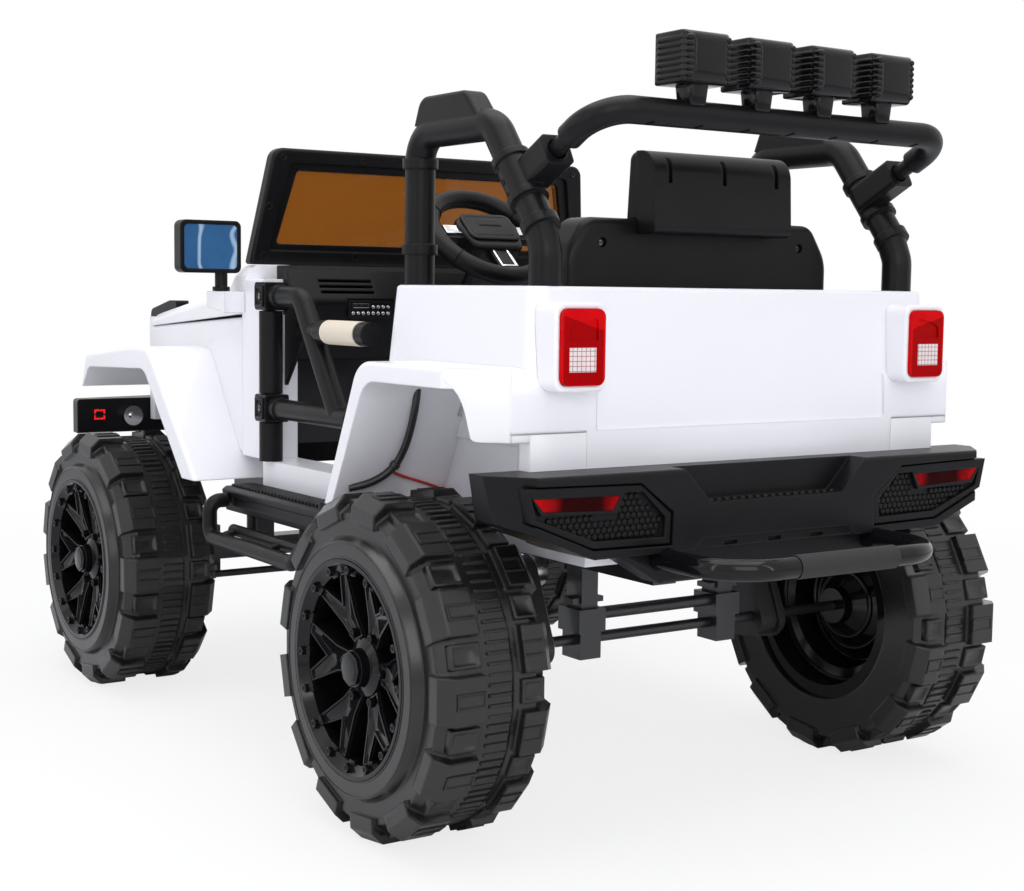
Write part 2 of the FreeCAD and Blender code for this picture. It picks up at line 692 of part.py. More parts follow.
def screen_outline(drop):
    """Outline of the screen, set in by drop, on its leaning plane."""
    def place(y, z):
        return (SCREEN_LOW_X - SCREEN_LEAN * (z - SCREEN_LOW_Z) / SCREEN_HEIGHT, y, z)
    low, top = SCREEN_LOW_Z + drop, SCREEN_LOW_Z + SCREEN_HEIGHT - drop
    narrow = drop * SCREEN_SIDE_BORDER / SCREEN_BORDER
    half_low = SCREEN_LOW_HALF - narrow
    half_top = half_low - SCREEN_TAPER
    corner = max(16 - drop / 3, 6)
    return outline([(-half_low, low, 4), (half_low, low, 4), (half_top, top, corner),
                    (-half_top, top, corner)], place)


def screen_slab(drop, start, thick):
    slab = Part.Face(screen_outline(drop)).extrude(V(thick, 0, 0))
    slab.translate(V(start, 0, 0))
    return slab


def windscreen_frame():
    """The screen's moulded frame: a soft outer edge and a rebate round the opening on its rear face."""
    body = softened(screen_slab(0, 0, SCREEN_THICK), EDGE_ROUND - 1,
                    lambda b: b.ZMin > SCREEN_LOW_Z + 8 and b.XMax < SCREEN_LOW_X + 1)
    rebate = screen_slab(SCREEN_BORDER - SCREEN_REBATE, -OVERLAP, SCREEN_REBATE_DEPTH + OVERLAP)
    return body.cut([screen_slab(SCREEN_BORDER, -OVERLAP, SCREEN_THICK + 2 * OVERLAP), rebate])


def windscreen_pane():
    return screen_slab(SCREEN_BORDER + RIM_GAP, SCREEN_THICK / 2, PANE_THICK)


def dashboard():
    """Scuttle and dashboard in one dark moulding, with air vents, a radio panel and the kick panels."""
    wide, narrow = BODY_HALF - 30, SILL_INNER - 0.5
    face, low, top = COWL_REAR - SEAT_GAP, SILL_TOP + 122, COWL_PLINTH_TOP - 0.2
    board = side_prism([(face, low), (face - 28, low + 75, 12), (face - 4, top - 6), (face, top - 6)], -wide,
                       wide)
    middle = side_prism([(face - OVERLAP, low), (face - OVERLAP, top - 6), (face + 8, top), (COWL_FRONT, top),
                         (COWL_FRONT, low)], -narrow, narrow)
    knees = side_prism([(face + 16, low - OVERLAP), (face + 16, top - 24), (COWL_FRONT + OVERLAP, top - 24),
                        (COWL_FRONT + OVERLAP, low - OVERLAP)], -narrow + 14, narrow - 14)
    shaft = rod(shaft_point(-40), shaft_point(shaft_length()), SHAFT_RADIUS + BORE_GAP)
    vents = [box(face - 30, face - 2, side * 175 - 38, side * 175 + 38, top - 21 - 7 * i, top - 18 - 7 * i)
             for side in (1, -1) for i in range(3)]
    radio = [box(face - 40, face - 24, y - 34, y + 34, low + 52, low + 78) for y in (145, -145)]
    panel = kick_panel(wide)
    return fused([board, middle, panel, mirrored(panel)]).cut([knees, shaft] + vents + radio)


def kick_panel(half):
    """The slotted three-cornered panel at the dashboard's end, behind the door post."""
    rear, low, top = DOOR_FRONT - SEAT_GAP, SILL_TOP + 92, SILL_TOP + 198
    thick, slot = 5, 5
    panel = side_prism([(rear, low), (rear, top), (rear - 78, top), (rear - 62, top - 30)], half - thick,
                       half)
    slots = []
    for i in range(3):
        left, right = rear - 58 + 9 * i, rear - 32
        high_left, high_right = top - 18 - 16 * i, top - 12 - 14 * i
        slots.append(side_prism([(left, high_left), (right, high_right), (right, high_right - slot),
                                 (left, high_left - slot)], half - thick - OVERLAP, half + OVERLAP))
    return panel.cut(slots)


def seat():
    """The moulded bucket seat: cushion and back, both with soft edges."""
    low = SEAT_PLINTH_TOP + SEAT_GAP
    root = SEAT_BACK_X + 6
    base = side_prism([(root, low), (SEAT_FRONT, low, 6), (SEAT_FRONT, SEAT_TOP, 22), (root, SEAT_TOP)],
                      -SEAT_HALF, SEAT_HALF)
    shoulder = SEAT_SHOULDER_Z - 38
    back = cross_prism([(-SEAT_HALF, low), (SEAT_HALF, low), (SEAT_HALF, shoulder, 46),
                        (SEAT_SHOULDER_HALF, SEAT_SHOULDER_Z, 20), (-SEAT_SHOULDER_HALF, SEAT_SHOULDER_Z, 20),
                        (-SEAT_HALF, shoulder, 46)], SEAT_BACK_X, SEAT_BACK_X + SEAT_BACK_THICK)
    back = softened(back, SEAT_ROUND, lambda b: b.XMax - b.XMin < 0.1 and b.ZMax > low + 1)
    wells = [rod((SEAT_BACK_X - OVERLAP, s * 138, SEAT_SHOULDER_Z - 26),
                 (SEAT_BACK_X + 8, s * 138, SEAT_SHOULDER_Z - 26), 5)
             for s in (1, -1)]
    return fused([base, back]).cut(wells)


def headrest():
    """The headrest saddled on the seat back: hard rear plate with three slots, softer pad in front."""
    top, rear = HEAD_LOW + HEAD_HEIGHT, HEAD_REAR
    plate_end = SEAT_BACK_X + 2
    plate = side_prism([(rear, HEAD_LOW, 8), (plate_end, HEAD_LOW), (plate_end, top), (rear + 4, top, 24)],
                       -HEAD_HALF, HEAD_HALF)
    pad = side_prism([(plate_end, HEAD_LOW), (rear + HEAD_THICK, HEAD_LOW, 10),
                      (rear + HEAD_THICK - 6, top, 10),
                      (plate_end, top)], -HEAD_HALF + 3, HEAD_HALF - 3)
    pad = softened(pad, EDGE_ROUND, lambda b: b.XMax > plate_end + 1 and b.YMax - b.YMin < 0.1)
    slots = [box(rear - OVERLAP, rear + 9, y - 3, y + 3, top - 8 - HEAD_SLOT, top - 8) for y in (-74, 0, 74)]
    room = box(SEAT_BACK_X - RIM_GAP, SEAT_BACK_X + SEAT_BACK_THICK + RIM_GAP, -HEAD_HALF - OVERLAP,
               HEAD_HALF + OVERLAP, HEAD_LOW - OVERLAP, SEAT_SHOULDER_Z + SEAT_GAP)
    return fused([plate, pad]).cut(slots + [room])


def bar_line(t):
    """A point on the light bar's end run, t millimetres of length X ahead of its bend."""
    return BAR_X + t, BAR_Z - BAR_FALL * t


def square_bar(start, end, y, half):
    """A square bar with rounded corners along a line in the (x, z) plane at height y."""
    a, b = V(start[0], y, start[1]), V(end[0], y, end[1])
    along = b - a
    rise = V(-along.z, 0, along.x)
    rise.normalize()
    side = V(0, 1, 0)
    corners = rectangle(-half, half, -half, half, half / 3)
    face = Part.Face(outline(corners, lambda u, v: tuple(a + side * u + rise * v)))
    return face.extrude(along)


def sleeve_centre():
    """Where the light bar's end run meets the leaning leg of the hoop, in (x, z)."""
    lean = (HOOP_TOP_Z - (HOOP_KNEE_Z)) / (HOOP_CREST_X - HOOP_LEAN_X)
    x = (BAR_Z + BAR_FALL * BAR_X - HOOP_TOP_Z + lean * HOOP_CREST_X) / (lean + BAR_FALL)
    return x, HOOP_TOP_Z + lean * (x - HOOP_CREST_X)


def along_leg(distance):
    """A point on the hoop's leaning leg, at a distance up from the sleeve's middle, in (x, z)."""
    x, z = sleeve_centre()
    dx, dz = HOOP_CREST_X - HOOP_LEAN_X, HOOP_TOP_Z - (HOOP_KNEE_Z)
    size = math.hypot(dx, dz)
    return x + dx * distance / size, z + dz * distance / size


def leg_rod(y, low, high, radius):
    """A ring round the hoop's leaning leg between two distances from the sleeve's middle."""
    (x0, z0), (x1, z1) = along_leg(low), along_leg(high)
    return rod((x0, y, z0), (x1, y, z1), radius)


def hoop(side):
    """One bent roll hoop: pipe, collars, the sleeve with its square socket, and the padded top."""
    y, foot = side * HOOP_Y, TUB_TOP - HOOP_SOCKET + SEAT_GAP
    knee = (HOOP_LEAN_X, y, HOOP_KNEE_Z)
    pipe = tube([(HOOP_FRONT_X, y, foot), (HOOP_FRONT_X, y, HOOP_TOP_Z), (HOOP_CREST_X, y, HOOP_TOP_Z), knee],
                HOOP_RADIUS, HOOP_BEND)
    leg = tube([knee, (HOOP_REAR_X, y, TUB_TOP + 34), (HOOP_REAR_X, y, foot)], HOOP_RADIUS, HOOP_ELBOW)
    collars = [rod((HOOP_FRONT_X, y, TUB_TOP + z), (HOOP_FRONT_X, y, TUB_TOP + z + COLLAR_LENGTH),
                   COLLAR_RADIUS)
               for z in (33, 125)]
    collars.append(leg_rod(y, -64, -64 + COLLAR_LENGTH, COLLAR_RADIUS))
    sleeve = [leg_rod(y, -28, 28, SLEEVE_RADIUS - 2), leg_rod(y, -28, -20, SLEEVE_RADIUS),
              leg_rod(y, 20, 28, SLEEVE_RADIUS)]
    mouth = bar_line(SOCKET_MOUTH)
    socket = square_bar(sleeve_centre(), mouth, side * BAR_Y, SOCKET_HALF)
    past = bar_line(SOCKET_MOUTH - 10)
    seat_end = bar_line(sleeve_centre()[0] - BAR_X - SLEEVE_RADIUS - 4)
    bore = rod((past[0], side * BAR_Y, past[1]), (seat_end[0], side * BAR_Y, seat_end[1]), SOCKET_BORE)
    pad_low, pad_top = HOOP_TOP_Z + 7, HOOP_TOP_Z + 37
    pad = side_prism([(HOOP_FRONT_X - 7, pad_low), (HOOP_FRONT_X - 20, pad_top, 18),
                      (HOOP_CREST_X + 38, pad_top, 18),
                      (HOOP_CREST_X + 10, pad_low)], y - 14, y + 14)
    pad = softened(pad, EDGE_ROUND, lambda b: b.ZMin > pad_top - 20 and b.YMax - b.YMin < 0.1)
    return fused([pipe, leg] + collars + sleeve + [socket, pad]).cut(bore)


def light_bar():
    """The bar behind the hoops that carries the roof lamps; its thinner ends stand in the hoops' sockets."""
    thick_end, rod_end = 46, sleeve_centre()[0] - BAR_X - SLEEVE_RADIUS - 4 - SEAT_GAP
    (x0, z0), (x1, z1) = bar_line(thick_end), bar_line(rod_end)
    bar = tube([(x0, BAR_Y, z0), (BAR_X, BAR_Y, BAR_Z), (BAR_X, -BAR_Y, BAR_Z), (x0, -BAR_Y, z0)],
               BAR_RADIUS, BAR_BEND)
    ends = [rod((x0, s * BAR_Y, z0), (x1, s * BAR_Y, z1), BAR_ROD) for s in (1, -1)]
    return fused([bar] + ends)


def lamp_places():
    return [(i - 1.5) * LAMP_PITCH for i in range(4)]


def lamp_shell(y):
    """One roof lamp housing: flared front rim, ribbed sides, rounded back, on a stepped foot."""
    rear = BAR_X - LAMP_BEHIND
    front, top = rear + LAMP_DEPTH, LAMP_LOW + LAMP_HEIGHT
    flare = LAMP_HALF + LAMP_FLARE
    back_face = outline(rectangle(y - LAMP_HALF, y + LAMP_HALF, LAMP_LOW, top, 8), lambda a, z: (rear, a, z))
    front_face = outline(rectangle(y - flare, y + flare, LAMP_LOW - LAMP_FLARE, top + LAMP_FLARE, 8),
                         lambda a, z: (front, a, z))
    shell = Part.makeLoft([back_face, front_face], True)
    pitch = (LAMP_HEIGHT - 8) / LAMP_RIBS
    flutes = [rod((rear + 12, y + s * (LAMP_HALF + 3), LAMP_LOW + 4 + pitch * (i + 0.5)),
                  (front - 6, y + s * (flare + 3), LAMP_LOW + 4 + pitch * (i + 0.5)), pitch / 2)
              for s in (1, -1) for i in range(LAMP_RIBS)]
    mouth = rectangle(y - flare + LAMP_RIM, y + flare - LAMP_RIM, LAMP_LOW - LAMP_FLARE + LAMP_RIM,
                      top + LAMP_FLARE - LAMP_RIM, 4)
    hollow = cross_prism(mouth, front - LENS_DEPTH - SEAT_GAP, front + OVERLAP)
    saddle = rod((BAR_X, y - 20, BAR_Z), (BAR_X, y + 20, BAR_Z), BAR_RADIUS + RIM_GAP)
    foot = box(BAR_X - 15, BAR_X + 13, y - 13, y + 13, BAR_Z + BAR_RADIUS - 8, LAMP_LOW - 6).cut(saddle)
    neck = box(BAR_X - 12, BAR_X + 10, y - 10, y + 10, LAMP_LOW - 7, LAMP_LOW + 3)
    return fused([shell.cut(flutes), foot, neck]).cut(hollow)


def lamp_lens(y):
    front, top = BAR_X - LAMP_BEHIND + LAMP_DEPTH, LAMP_LOW + LAMP_HEIGHT
    inset = LAMP_RIM + LENS_GAP
    half = LAMP_HALF + LAMP_FLARE - inset
    return cross_prism(rectangle(y - half, y + half, LAMP_LOW - LAMP_FLARE + inset, top + LAMP_FLARE - inset,
                                 4),
                       front - LENS_DEPTH, front - 2)


def tail_lamps(tub):
    """Tail lamp housings, red lenses with a raised frame and slanting upper pane, clear reversing windows."""
    rear, low, top = TUB_REAR_TOP - 32, TUB_TOP - 101, TUB_TOP - 15
    outer = TUB_TOP_HALF - 2
    inner = outer - 62
    shell = cross_prism(rectangle(inner, outer, low, top, 10), rear, TUB_REAR_TOP + 2)
    shell = softened(shell, EDGE_ROUND - 2, lambda b: b.XMax < rear + 0.1).cut([tub_box(), tub])
    recess = cross_prism(rectangle(inner + 5, outer - 5, low + 6, top - 6, 8), rear - OVERLAP, rear + 6)
    lens = cross_prism(rectangle(inner + 5.3, outer - 5.3, low + 6.3, top - 6.3, 8), rear - 4, rear + 5.7)
    slope = cross_prism([(inner + 14, low + 50), (outer - 14, low + 50), (outer - 14, top - 24, 3),
                         (outer - 26, top - 19, 4), (inner + 14, top - 15, 3)], rear - 5, rear - 2)
    window = box(rear - 5, rear, inner + 16, outer - 14, low + 19, low + 43)
    glass = box(rear - 4.2, rear - SEAT_GAP, inner + 16.3, outer - 14.3, low + 19.3, low + 42.7)
    save("tail_lamp_housings", both(shell.cut(recess)))
    save("tail_lamp_lenses", both(lens.cut([window, slope])))
    save("reverse_lenses", both(glass))


def bumper_block():
    """The rear bumper's outer form: deep ends swept forward, hollow behind."""
    half, bend = BUMPER_HALF, BUMPER_BEND_HALF
    knee_z = BUMPER_TOP - BUMPER_END_DROP
    face = [(-half, BUMPER_TOP), (-bend, knee_z), (-BUMPER_FLAT_HALF, BUMPER_LOW),
            (BUMPER_FLAT_HALF, BUMPER_LOW),
            (bend, knee_z), (half, BUMPER_TOP)]
    front = TUB_REAR + 47
    block = cross_prism(face, BUMPER_FACE_X, front)
    hollow = box(TUB_REAR + 17, front + 10, -half - OVERLAP, half + OVERLAP, BUMPER_LOW + 24, BUMPER_TOP + 10)
    corner = plan_prism([(BUMPER_FACE_X - OVERLAP, BODY_HALF + 17), (TUB_REAR - 6, half + OVERLAP),
                         (BUMPER_FACE_X - OVERLAP, half + OVERLAP)], BUMPER_LOW - OVERLAP,
                         BUMPER_TOP + OVERLAP)
    wheel_room = rod((0, WHEEL_PLANE + LUG_IN - TYRE_ROOM / 2, AXLE_Z), (0, half + OVERLAP, AXLE_Z),
                     TYRE_RADIUS + TYRE_ROOM / 2)
    block = block.cut([hollow, corner, mirrored(corner), wheel_room, mirrored(wheel_room)])
    return softened(block, EDGE_ROUND - 1,
                    lambda b: b.XMax < BUMPER_FACE_X + 0.1 and b.ZMin > BUMPER_TOP - 0.1)


def rear_bumper():
    """The moulded rear bumper: deep ends, a middle step with slanting ends, a skid and a lower recess."""
    face, step_z = BUMPER_FACE_X, BUMPER_TOP - STEP_DROP
    step = cross_prism([(-STEP_HALF_TOP - 3, BUMPER_TOP + 3), (-STEP_HALF_LOW, step_z, 6),
                        (STEP_HALF_LOW, step_z, 6), (STEP_HALF_TOP + 3, BUMPER_TOP + 3)], face - OVERLAP,
                        face + 24)
    wide, narrow, high = TOW_HALF - 34, TOW_HALF - 46, BUMPER_LOW + 11
    recess = cross_prism([(-wide, BUMPER_LOW - OVERLAP), (-narrow, high, 8), (narrow, high, 8),
                          (wide, BUMPER_LOW - OVERLAP)], face - OVERLAP, face + 5)
    slots = [box(face, face + 9, y - 9, y + 9, high - 9, high - 5) for y in (-60, 0, 60)]
    tub_half = BELLY_HALF + WALL + OVERLAP
    tub_room = box(TUB_REAR - LENS_GAP, TUB_REAR + 57, -tub_half, tub_half, SKID_LOW - OVERLAP,
                   BUMPER_TOP + 10)
    pockets = [rod((face - OVERLAP, s * TOW_HALF, TOW_Z), (face + 30, s * TOW_HALF, TOW_Z),
                   TOW_RADIUS + RIM_GAP)
               for s in (1, -1)]
    skid = cross_prism([(-200, BUMPER_LOW + OVERLAP), (-140, SKID_LOW), (140, SKID_LOW),
                        (200, BUMPER_LOW + OVERLAP)],
                       face + 15, face + 85)
    skid = softened(skid, EDGE_ROUND, lambda b: b.XMax < face + 15.1 and b.ZMin < BUMPER_LOW)
    return fused([bumper_block().cut([step, recess] + slots), skid]).cut([tub_room] + pockets)


def insert_outline(drop):
    """Outline of one lamp insert in the bumper's end, set in by drop."""
    d, top = drop, BUMPER_TOP
    out = BUMPER_HALF - 18
    return [(out - d * 1.2, top - 8 - d), (out - 140 - d * 0.4, top - 11 - d),
            (out - 181 + d, top - 42 - d * 0.5),
            (out - 180 + d, top - 75 + d), (out - 83 - d * 0.3, top - 73.5 + d),
            (out - 8 - d, top - 43 + d * 0.4)]


def reflector_outline(drop):
    """Outline of the red reflector in the insert's upper outer corner, set in by drop."""
    d, out, top = drop, BUMPER_HALF - 29, BUMPER_TOP - 17
    return [(out - d, top - d), (out - 110 + d * 1.6, top - 2 - d), (out - 100 + d, top - 22 + d),
            (out - 12 - d, top - 19 + d)]


def rear_bumper_inserts(bumper):
    """Cuts the bumper for its two lamp inserts, each with a honeycomb floor and a red reflector."""
    face = BUMPER_FACE_X
    recess = cross_prism(insert_outline(0), face - OVERLAP, face + INSERT_DEPTH)
    insert = cross_prism(insert_outline(2), face + 2, face + INSERT_DEPTH - SEAT_GAP)
    inner = cross_prism(insert_outline(9), face, face + INSERT_DEPTH - 4)
    insert = insert.cut(inner)
    frame = cross_prism(reflector_outline(0), face + 2, face + INSERT_DEPTH - 3)
    frame = frame.common(cross_prism(insert_outline(2), face + 2, face + INSERT_DEPTH - SEAT_GAP))
    pocket = cross_prism(reflector_outline(3), face + OVERLAP, face + 7)
    lens = cross_prism(reflector_outline(3 + LENS_GAP), face + 3, face + 7 - LENS_GAP)
    save("rear_bumper", bumper.cut([recess, mirrored(recess)]))
    save("bumper_inserts", both(fused([insert, frame]).cut(pocket)))
    save("bumper_reflectors", both(lens))


def tow_handle():
    root = BUMPER_FACE_X + 30 - SEAT_GAP
    return tube([(root, TOW_HALF, TOW_Z), (TOW_X, TOW_HALF, TOW_Z), (TOW_X, -TOW_HALF, TOW_Z),
                 (root, -TOW_HALF, TOW_Z)],
                TOW_RADIUS, TOW_BEND)


def tow_grip():
    sleeve = rod((TOW_X, -GRIP_HALF, TOW_Z), (TOW_X, GRIP_HALF, TOW_Z), GRIP_RADIUS)
    return sleeve.cut(rod((TOW_X, -GRIP_HALF - 1, TOW_Z), (TOW_X, GRIP_HALF + 1, TOW_Z), TOW_RADIUS + 0.1))


def front_bumper():
    """The front bumper: a wing swept back at its ends, a chin under it and the neck that holds it."""
    rear, half, sweep = FRONT_BUMPER_REAR, FRONT_BUMPER_HALF, FRONT_BUMPER_REAR + 30
    wing = plan_prism([(rear, half), (rear, -half), (sweep, -half + 4), (FRONT_REACH, -190, 20),
                       (FRONT_REACH, 190, 20),
                       (sweep, half - 4)], FRONT_BUMPER_LOW, FRONT_BUMPER_TOP)
    wing = softened(wing, EDGE_ROUND, lambda b: b.ZMin > FRONT_BUMPER_TOP - 0.1 and b.XMax > rear + OVERLAP)
    chin = cross_prism([(-170, FRONT_BUMPER_LOW + OVERLAP), (-130, FRONT_BUMPER_LOW - 61),
                        (130, FRONT_BUMPER_LOW - 61), (170, FRONT_BUMPER_LOW + OVERLAP)], rear,
                        FRONT_REACH - 20)
    neck = box(NOSE_X + SEAT_GAP, rear + 5, -WELL_HALF + 4, WELL_HALF - 4, FRONT_BUMPER_LOW,
               NOSE_TOP - 142 - SEAT_GAP)
    return fused([wing, chin, neck])


def front_bumper_lamps():
    """The round fog lamp bodies that stand out behind the front bumper's ends."""
    x, y, z = FRONT_BUMPER_REAR - SEAT_GAP, FRONT_BUMPER_HALF - 83, FRONT_BUMPER_TOP - 26
    return both(fused([rod((x - 12, y, z), (x, y, z), 15), rod((x - 17, y, z), (x - 11, y, z), 6)]))


def side_step():
    """One running board: sloping face with a long recess, and a flat top."""
    inner, top, thick = BODY_HALF - 30, STEP_BOARD_TOP, STEP_BOARD_THICK
    board = cross_prism([(inner, SILL_LOW - 12), (STEP_OUT - 6, top - thick - 4), (STEP_OUT, top - 4, 3),
                         (STEP_OUT - 6, top), (BODY_HALF + SEAT_GAP, top),
                         (BODY_HALF + SEAT_GAP, SILL_LOW - SEAT_GAP),
                         (inner, SILL_LOW - SEAT_GAP)], STEP_REAR_X, STEP_FRONT_X)
    recess = cross_prism([(STEP_OUT - 5, top - 22), (STEP_OUT + 3, top - 22), (STEP_OUT + 3, top - 11),
                          (STEP_OUT - 5, top - 11)], STEP_REAR_X + 24, STEP_FRONT_X - 24)
    return board.cut(recess)


def side_rail():
    """The tube below one running board: outer bar, thinner inner bar, ties, hangers and rear foot."""
    front, low = STEP_FRONT_X - 15, RAIL_Z
    board = STEP_BOARD_TOP - 16
    foot_x, foot_y = ARCH_FOOT_X + 4, RAIL_Y - 8
    outer = tube([(front, STEP_OUT + SEAT_GAP, board), (front, RAIL_Y, board), (front, RAIL_Y, low),
                  (foot_x + 70, RAIL_Y, low - 2), (foot_x, foot_y, ARCH_FOOT_Z - 11)], RAIL_RADIUS, 14)
    foot = rod((foot_x, foot_y, ARCH_FOOT_Z - 20), (foot_x, foot_y, ARCH_FOOT_Z - OVERLAP - SEAT_GAP),
               RAIL_RADIUS + 2)
    inner_y = RAIL_Y - 26
    inner = rod((front - 12, inner_y, low + 8), (foot_x + 80, inner_y, low + 8), RAIL_RADIUS - 2)
    span = front - foot_x
    ties = [rod((x, inner_y, low + 8), (x, RAIL_Y, low), 5)
            for x in (front - 24, front - span / 2, front - span * 0.71)]
    top = STEP_BOARD_TOP - STEP_BOARD_THICK - 4 - SEAT_GAP
    hangers = [rod((x, inner_y - 8, low + 6), (x, inner_y - 8, top), 5.5)
               for x in (front - 50, front - span * 0.63)]
    return fused([outer, foot, inner] + ties + hangers)


def door_post():
    """The round post in front of the door, gapped for the door's clips, on its mounting plate."""
    low, rear = SILL_TOP + SEAT_GAP, DOOR_FRONT - SEAT_GAP
    post = rod((POST_X, BODY_HALF, low), (POST_X, BODY_HALF, POST_TOP), POST_RADIUS)
    plate = box(POST_X + 4, rear, BODY_HALF - 14, BODY_HALF + 2, low, POST_TOP)
    half = CLIP_SIZE / 2 + 1
    gaps = [box(POST_X - 30, rear + 1, BODY_HALF - 30, BODY_HALF + 30, z - half, z + half)
            for z in (DOOR_TOP_Z, DOOR_LOW_Z)]
    pin = rod((POST_X, BODY_HALF, low), (POST_X, BODY_HALF, POST_TOP), PIN_RADIUS)
    return fused([fused([post, plate]).cut(gaps), pin])


def door_x(share):
    """A place along the door, as a share of the doorway's length behind the post."""
    return POST_X - DOOR_LENGTH * share


def door(side):
    """One tube door: clips round the post, top tube running down to the lower tube, armrest tube, collars."""
    y, start, half = side * BODY_HALF, POST_X - 10, CLIP_SIZE / 2
    bar = tube([(start, y, DOOR_TOP_Z), (door_x(0.28), y, DOOR_TOP_Z), (door_x(0.6), y, DOOR_LOW_Z)],
               DOOR_TUBE, DOOR_BEND)
    low = rod((start, y, DOOR_LOW_Z), (door_x(0.71), y, DOOR_LOW_Z), DOOR_TUBE)
    arm = rod((door_x(0.39), y, ARMREST_Z), (door_x(0.85), y, ARMREST_Z), ARM_TUBE)
    collars = [rod((x, y, z), (x - 8, y, z), DOOR_TUBE + 2) for x in (POST_X - 24,)
               for z in (DOOR_TOP_Z, DOOR_LOW_Z)]
    collars.append(rod((door_x(0.45), y, ARMREST_Z), (door_x(0.52) + OVERLAP, y, ARMREST_Z), ARM_TUBE + 2.5))
    collars.append(rod((door_x(0.785) - OVERLAP, y, ARMREST_Z), (door_x(0.85), y, ARMREST_Z), ARM_TUBE + 2.5))
    clips = [softened(box(POST_X - half, POST_X + 12, y - 16, y + 16, z - half, z + half), 3,
                      lambda b: b.XMax - b.XMin > 1) for z in (DOOR_TOP_Z, DOOR_LOW_Z)]
    bore = rod((POST_X, y, SILL_TOP), (POST_X, y, POST_TOP + OVERLAP), PIN_RADIUS + BORE_GAP)
    return fused([bar, low, arm] + collars + clips).cut(bore)


def armrest(side):
    y = side * BODY_HALF
    ends = (door_x(0.52) - LENS_GAP, y, ARMREST_Z), (door_x(0.785) + LENS_GAP, y, ARMREST_Z)
    return rod(*ends, ARMREST_RADIUS).cut(rod(*ends, ARM_TUBE + RIM_GAP))


def mirror_place():
    return DOOR_FRONT + 86, BODY_HALF + 17, SILL_TOP + 231


def mirror_recess(drop):
    y, z = mirror_place()[1] - 23, mirror_place()[2]
    return rectangle(y + 5 + drop, y + 77 - drop, z + 5 + drop, z + 61 - drop, 6)


def mirror():
    """Mirror head with its recess, on a round stem with a flat foot, and the bracket on the cowl's side."""
    x, y, z = mirror_place()
    bracket = side_prism([(x - 35, z - 50), (x + 20, z - 43), (x + 20, z - 23, 4), (x - 35, z - 23)],
                         BODY_HALF + SEAT_GAP, BODY_HALF + 28)
    stem = rod((x, y, z - 29), (x, y, z + 11), 8)
    collar = rod((x, y, z - 23 + SEAT_GAP), (x, y, z - 17), 11)
    head = cross_prism(rectangle(y - 23, y + 59, z, z + 66, 8), x - 10, x + 14)
    head = softened(head, EDGE_ROUND, lambda b: b.XMin > x + 13.9)
    recess = cross_prism(mirror_recess(0), x - 11, x - 6)
    bore = rod((x, y, z - 60), (x, y, z + 20), 8 + RIM_GAP)
    return fused([stem, collar, head]).cut(recess), bracket.cut(bore)


def mirror_face():
    x = mirror_place()[0]
    return cross_prism(mirror_recess(SEAT_GAP), x - 9.5, x - 6 - SEAT_GAP)


def chassis():
    """The steel frame under the belly: two rails and three ties."""
    low, top = FRAME_LOW, BELLY_LOW - SEAT_GAP
    rails = [box(TUB_REAR, FRONT_AXLE + 60, s * FRAME_Y - FRAME_HALF, s * FRAME_Y + FRAME_HALF, low, top)
             for s in (1, -1)]
    ties = [box(x - 18, x + 18, -FRAME_Y, FRAME_Y, low + 4, top - 4)
            for x in (TUB_REAR + 97, DOOR_REAR + 73, FRONT_AXLE - 317)]
    return fused(rails + ties)


def battery():
    low = BELLY_LOW + WALL + SEAT_GAP
    return box(30, 150, -90, 90, low, low + 95)


def rear_axle():
    """Two clamped columns that carry the axle and the tie rod above it."""
    low = AXLE_Z - 20
    parts = []
    for s in (1, -1):
        y = s * COLUMN_Y
        parts.append(box(-14, 14, y - 11, y + 11, low + 34, FRAME_LOW - SEAT_GAP))
        parts.append(box(-17, 17, y - 14, y + 14, low, low + 50))
        parts.append(box(-20, 20, y - 18, y + 18, low + 30, low + 56))
        parts.append(box(-11, 11, y - 21, y + 21, low + 62, low + 68))
    axle = rod((0, -WHEEL_PLANE - AXLE_END, AXLE_Z), (0, WHEEL_PLANE + AXLE_END, AXLE_Z), AXLE_RADIUS)
    tie = rod((-6, -COLUMN_Y, AXLE_Z + 28), (-6, COLUMN_Y, AXLE_Z + 28), 7)
    return fused(parts + [axle, tie])


def drive_unit():
    """Gearbox between the column and the wheel, ribbed on its rear face, with its motor above."""
    inner, outer = WHEEL_PLANE - 176, WHEEL_PLANE - 138
    case = side_prism([(-30, AXLE_Z - 18, 18), (30, AXLE_Z - 28, 18), (66, AXLE_Z + 84, 22),
                       (20, AXLE_Z + 98, 22)],
                      inner, outer)
    lip = side_prism([(-34, AXLE_Z - 20, 18), (32, AXLE_Z - 32, 18), (71, AXLE_Z + 86, 22),
                      (18, AXLE_Z + 102, 22)],
                     outer - 14, outer - 8)
    motor = rod((MOTOR_X, inner - 23, MOTOR_Z), (MOTOR_X, inner, MOTOR_Z), MOTOR_RADIUS)
    bore = rod((0, inner - 50, AXLE_Z), (0, outer + 50, AXLE_Z), AXLE_RADIUS + RIM_GAP)
    return fused([case, lip, motor]).cut(bore)


def motor_lead(tub, row):
    """One of the two leads: out of the arch's front wall, along the tub and down to the motor can."""
    along, across = WALL_LEAD_Z + row * LEAD_PITCH, BELLY_HALF + WALL + SEAT_GAP + LEAD_RADIUS
    ahead, terminal = LEAD_DROP_X - row * LEAD_PITCH, WHEEL_PLANE - 192 + row * LEAD_PITCH
    can_side = MOTOR_X + MOTOR_RADIUS + SEAT_GAP
    lead = tube([(ARCH_FOOT_X + 4, across, along), (ahead, across, along), (ahead, across, MOTOR_Z),
                 (ahead, terminal, MOTOR_Z), (can_side, terminal, MOTOR_Z)], LEAD_RADIUS, LEAD_BEND).cut(tub)
    return both(lead)


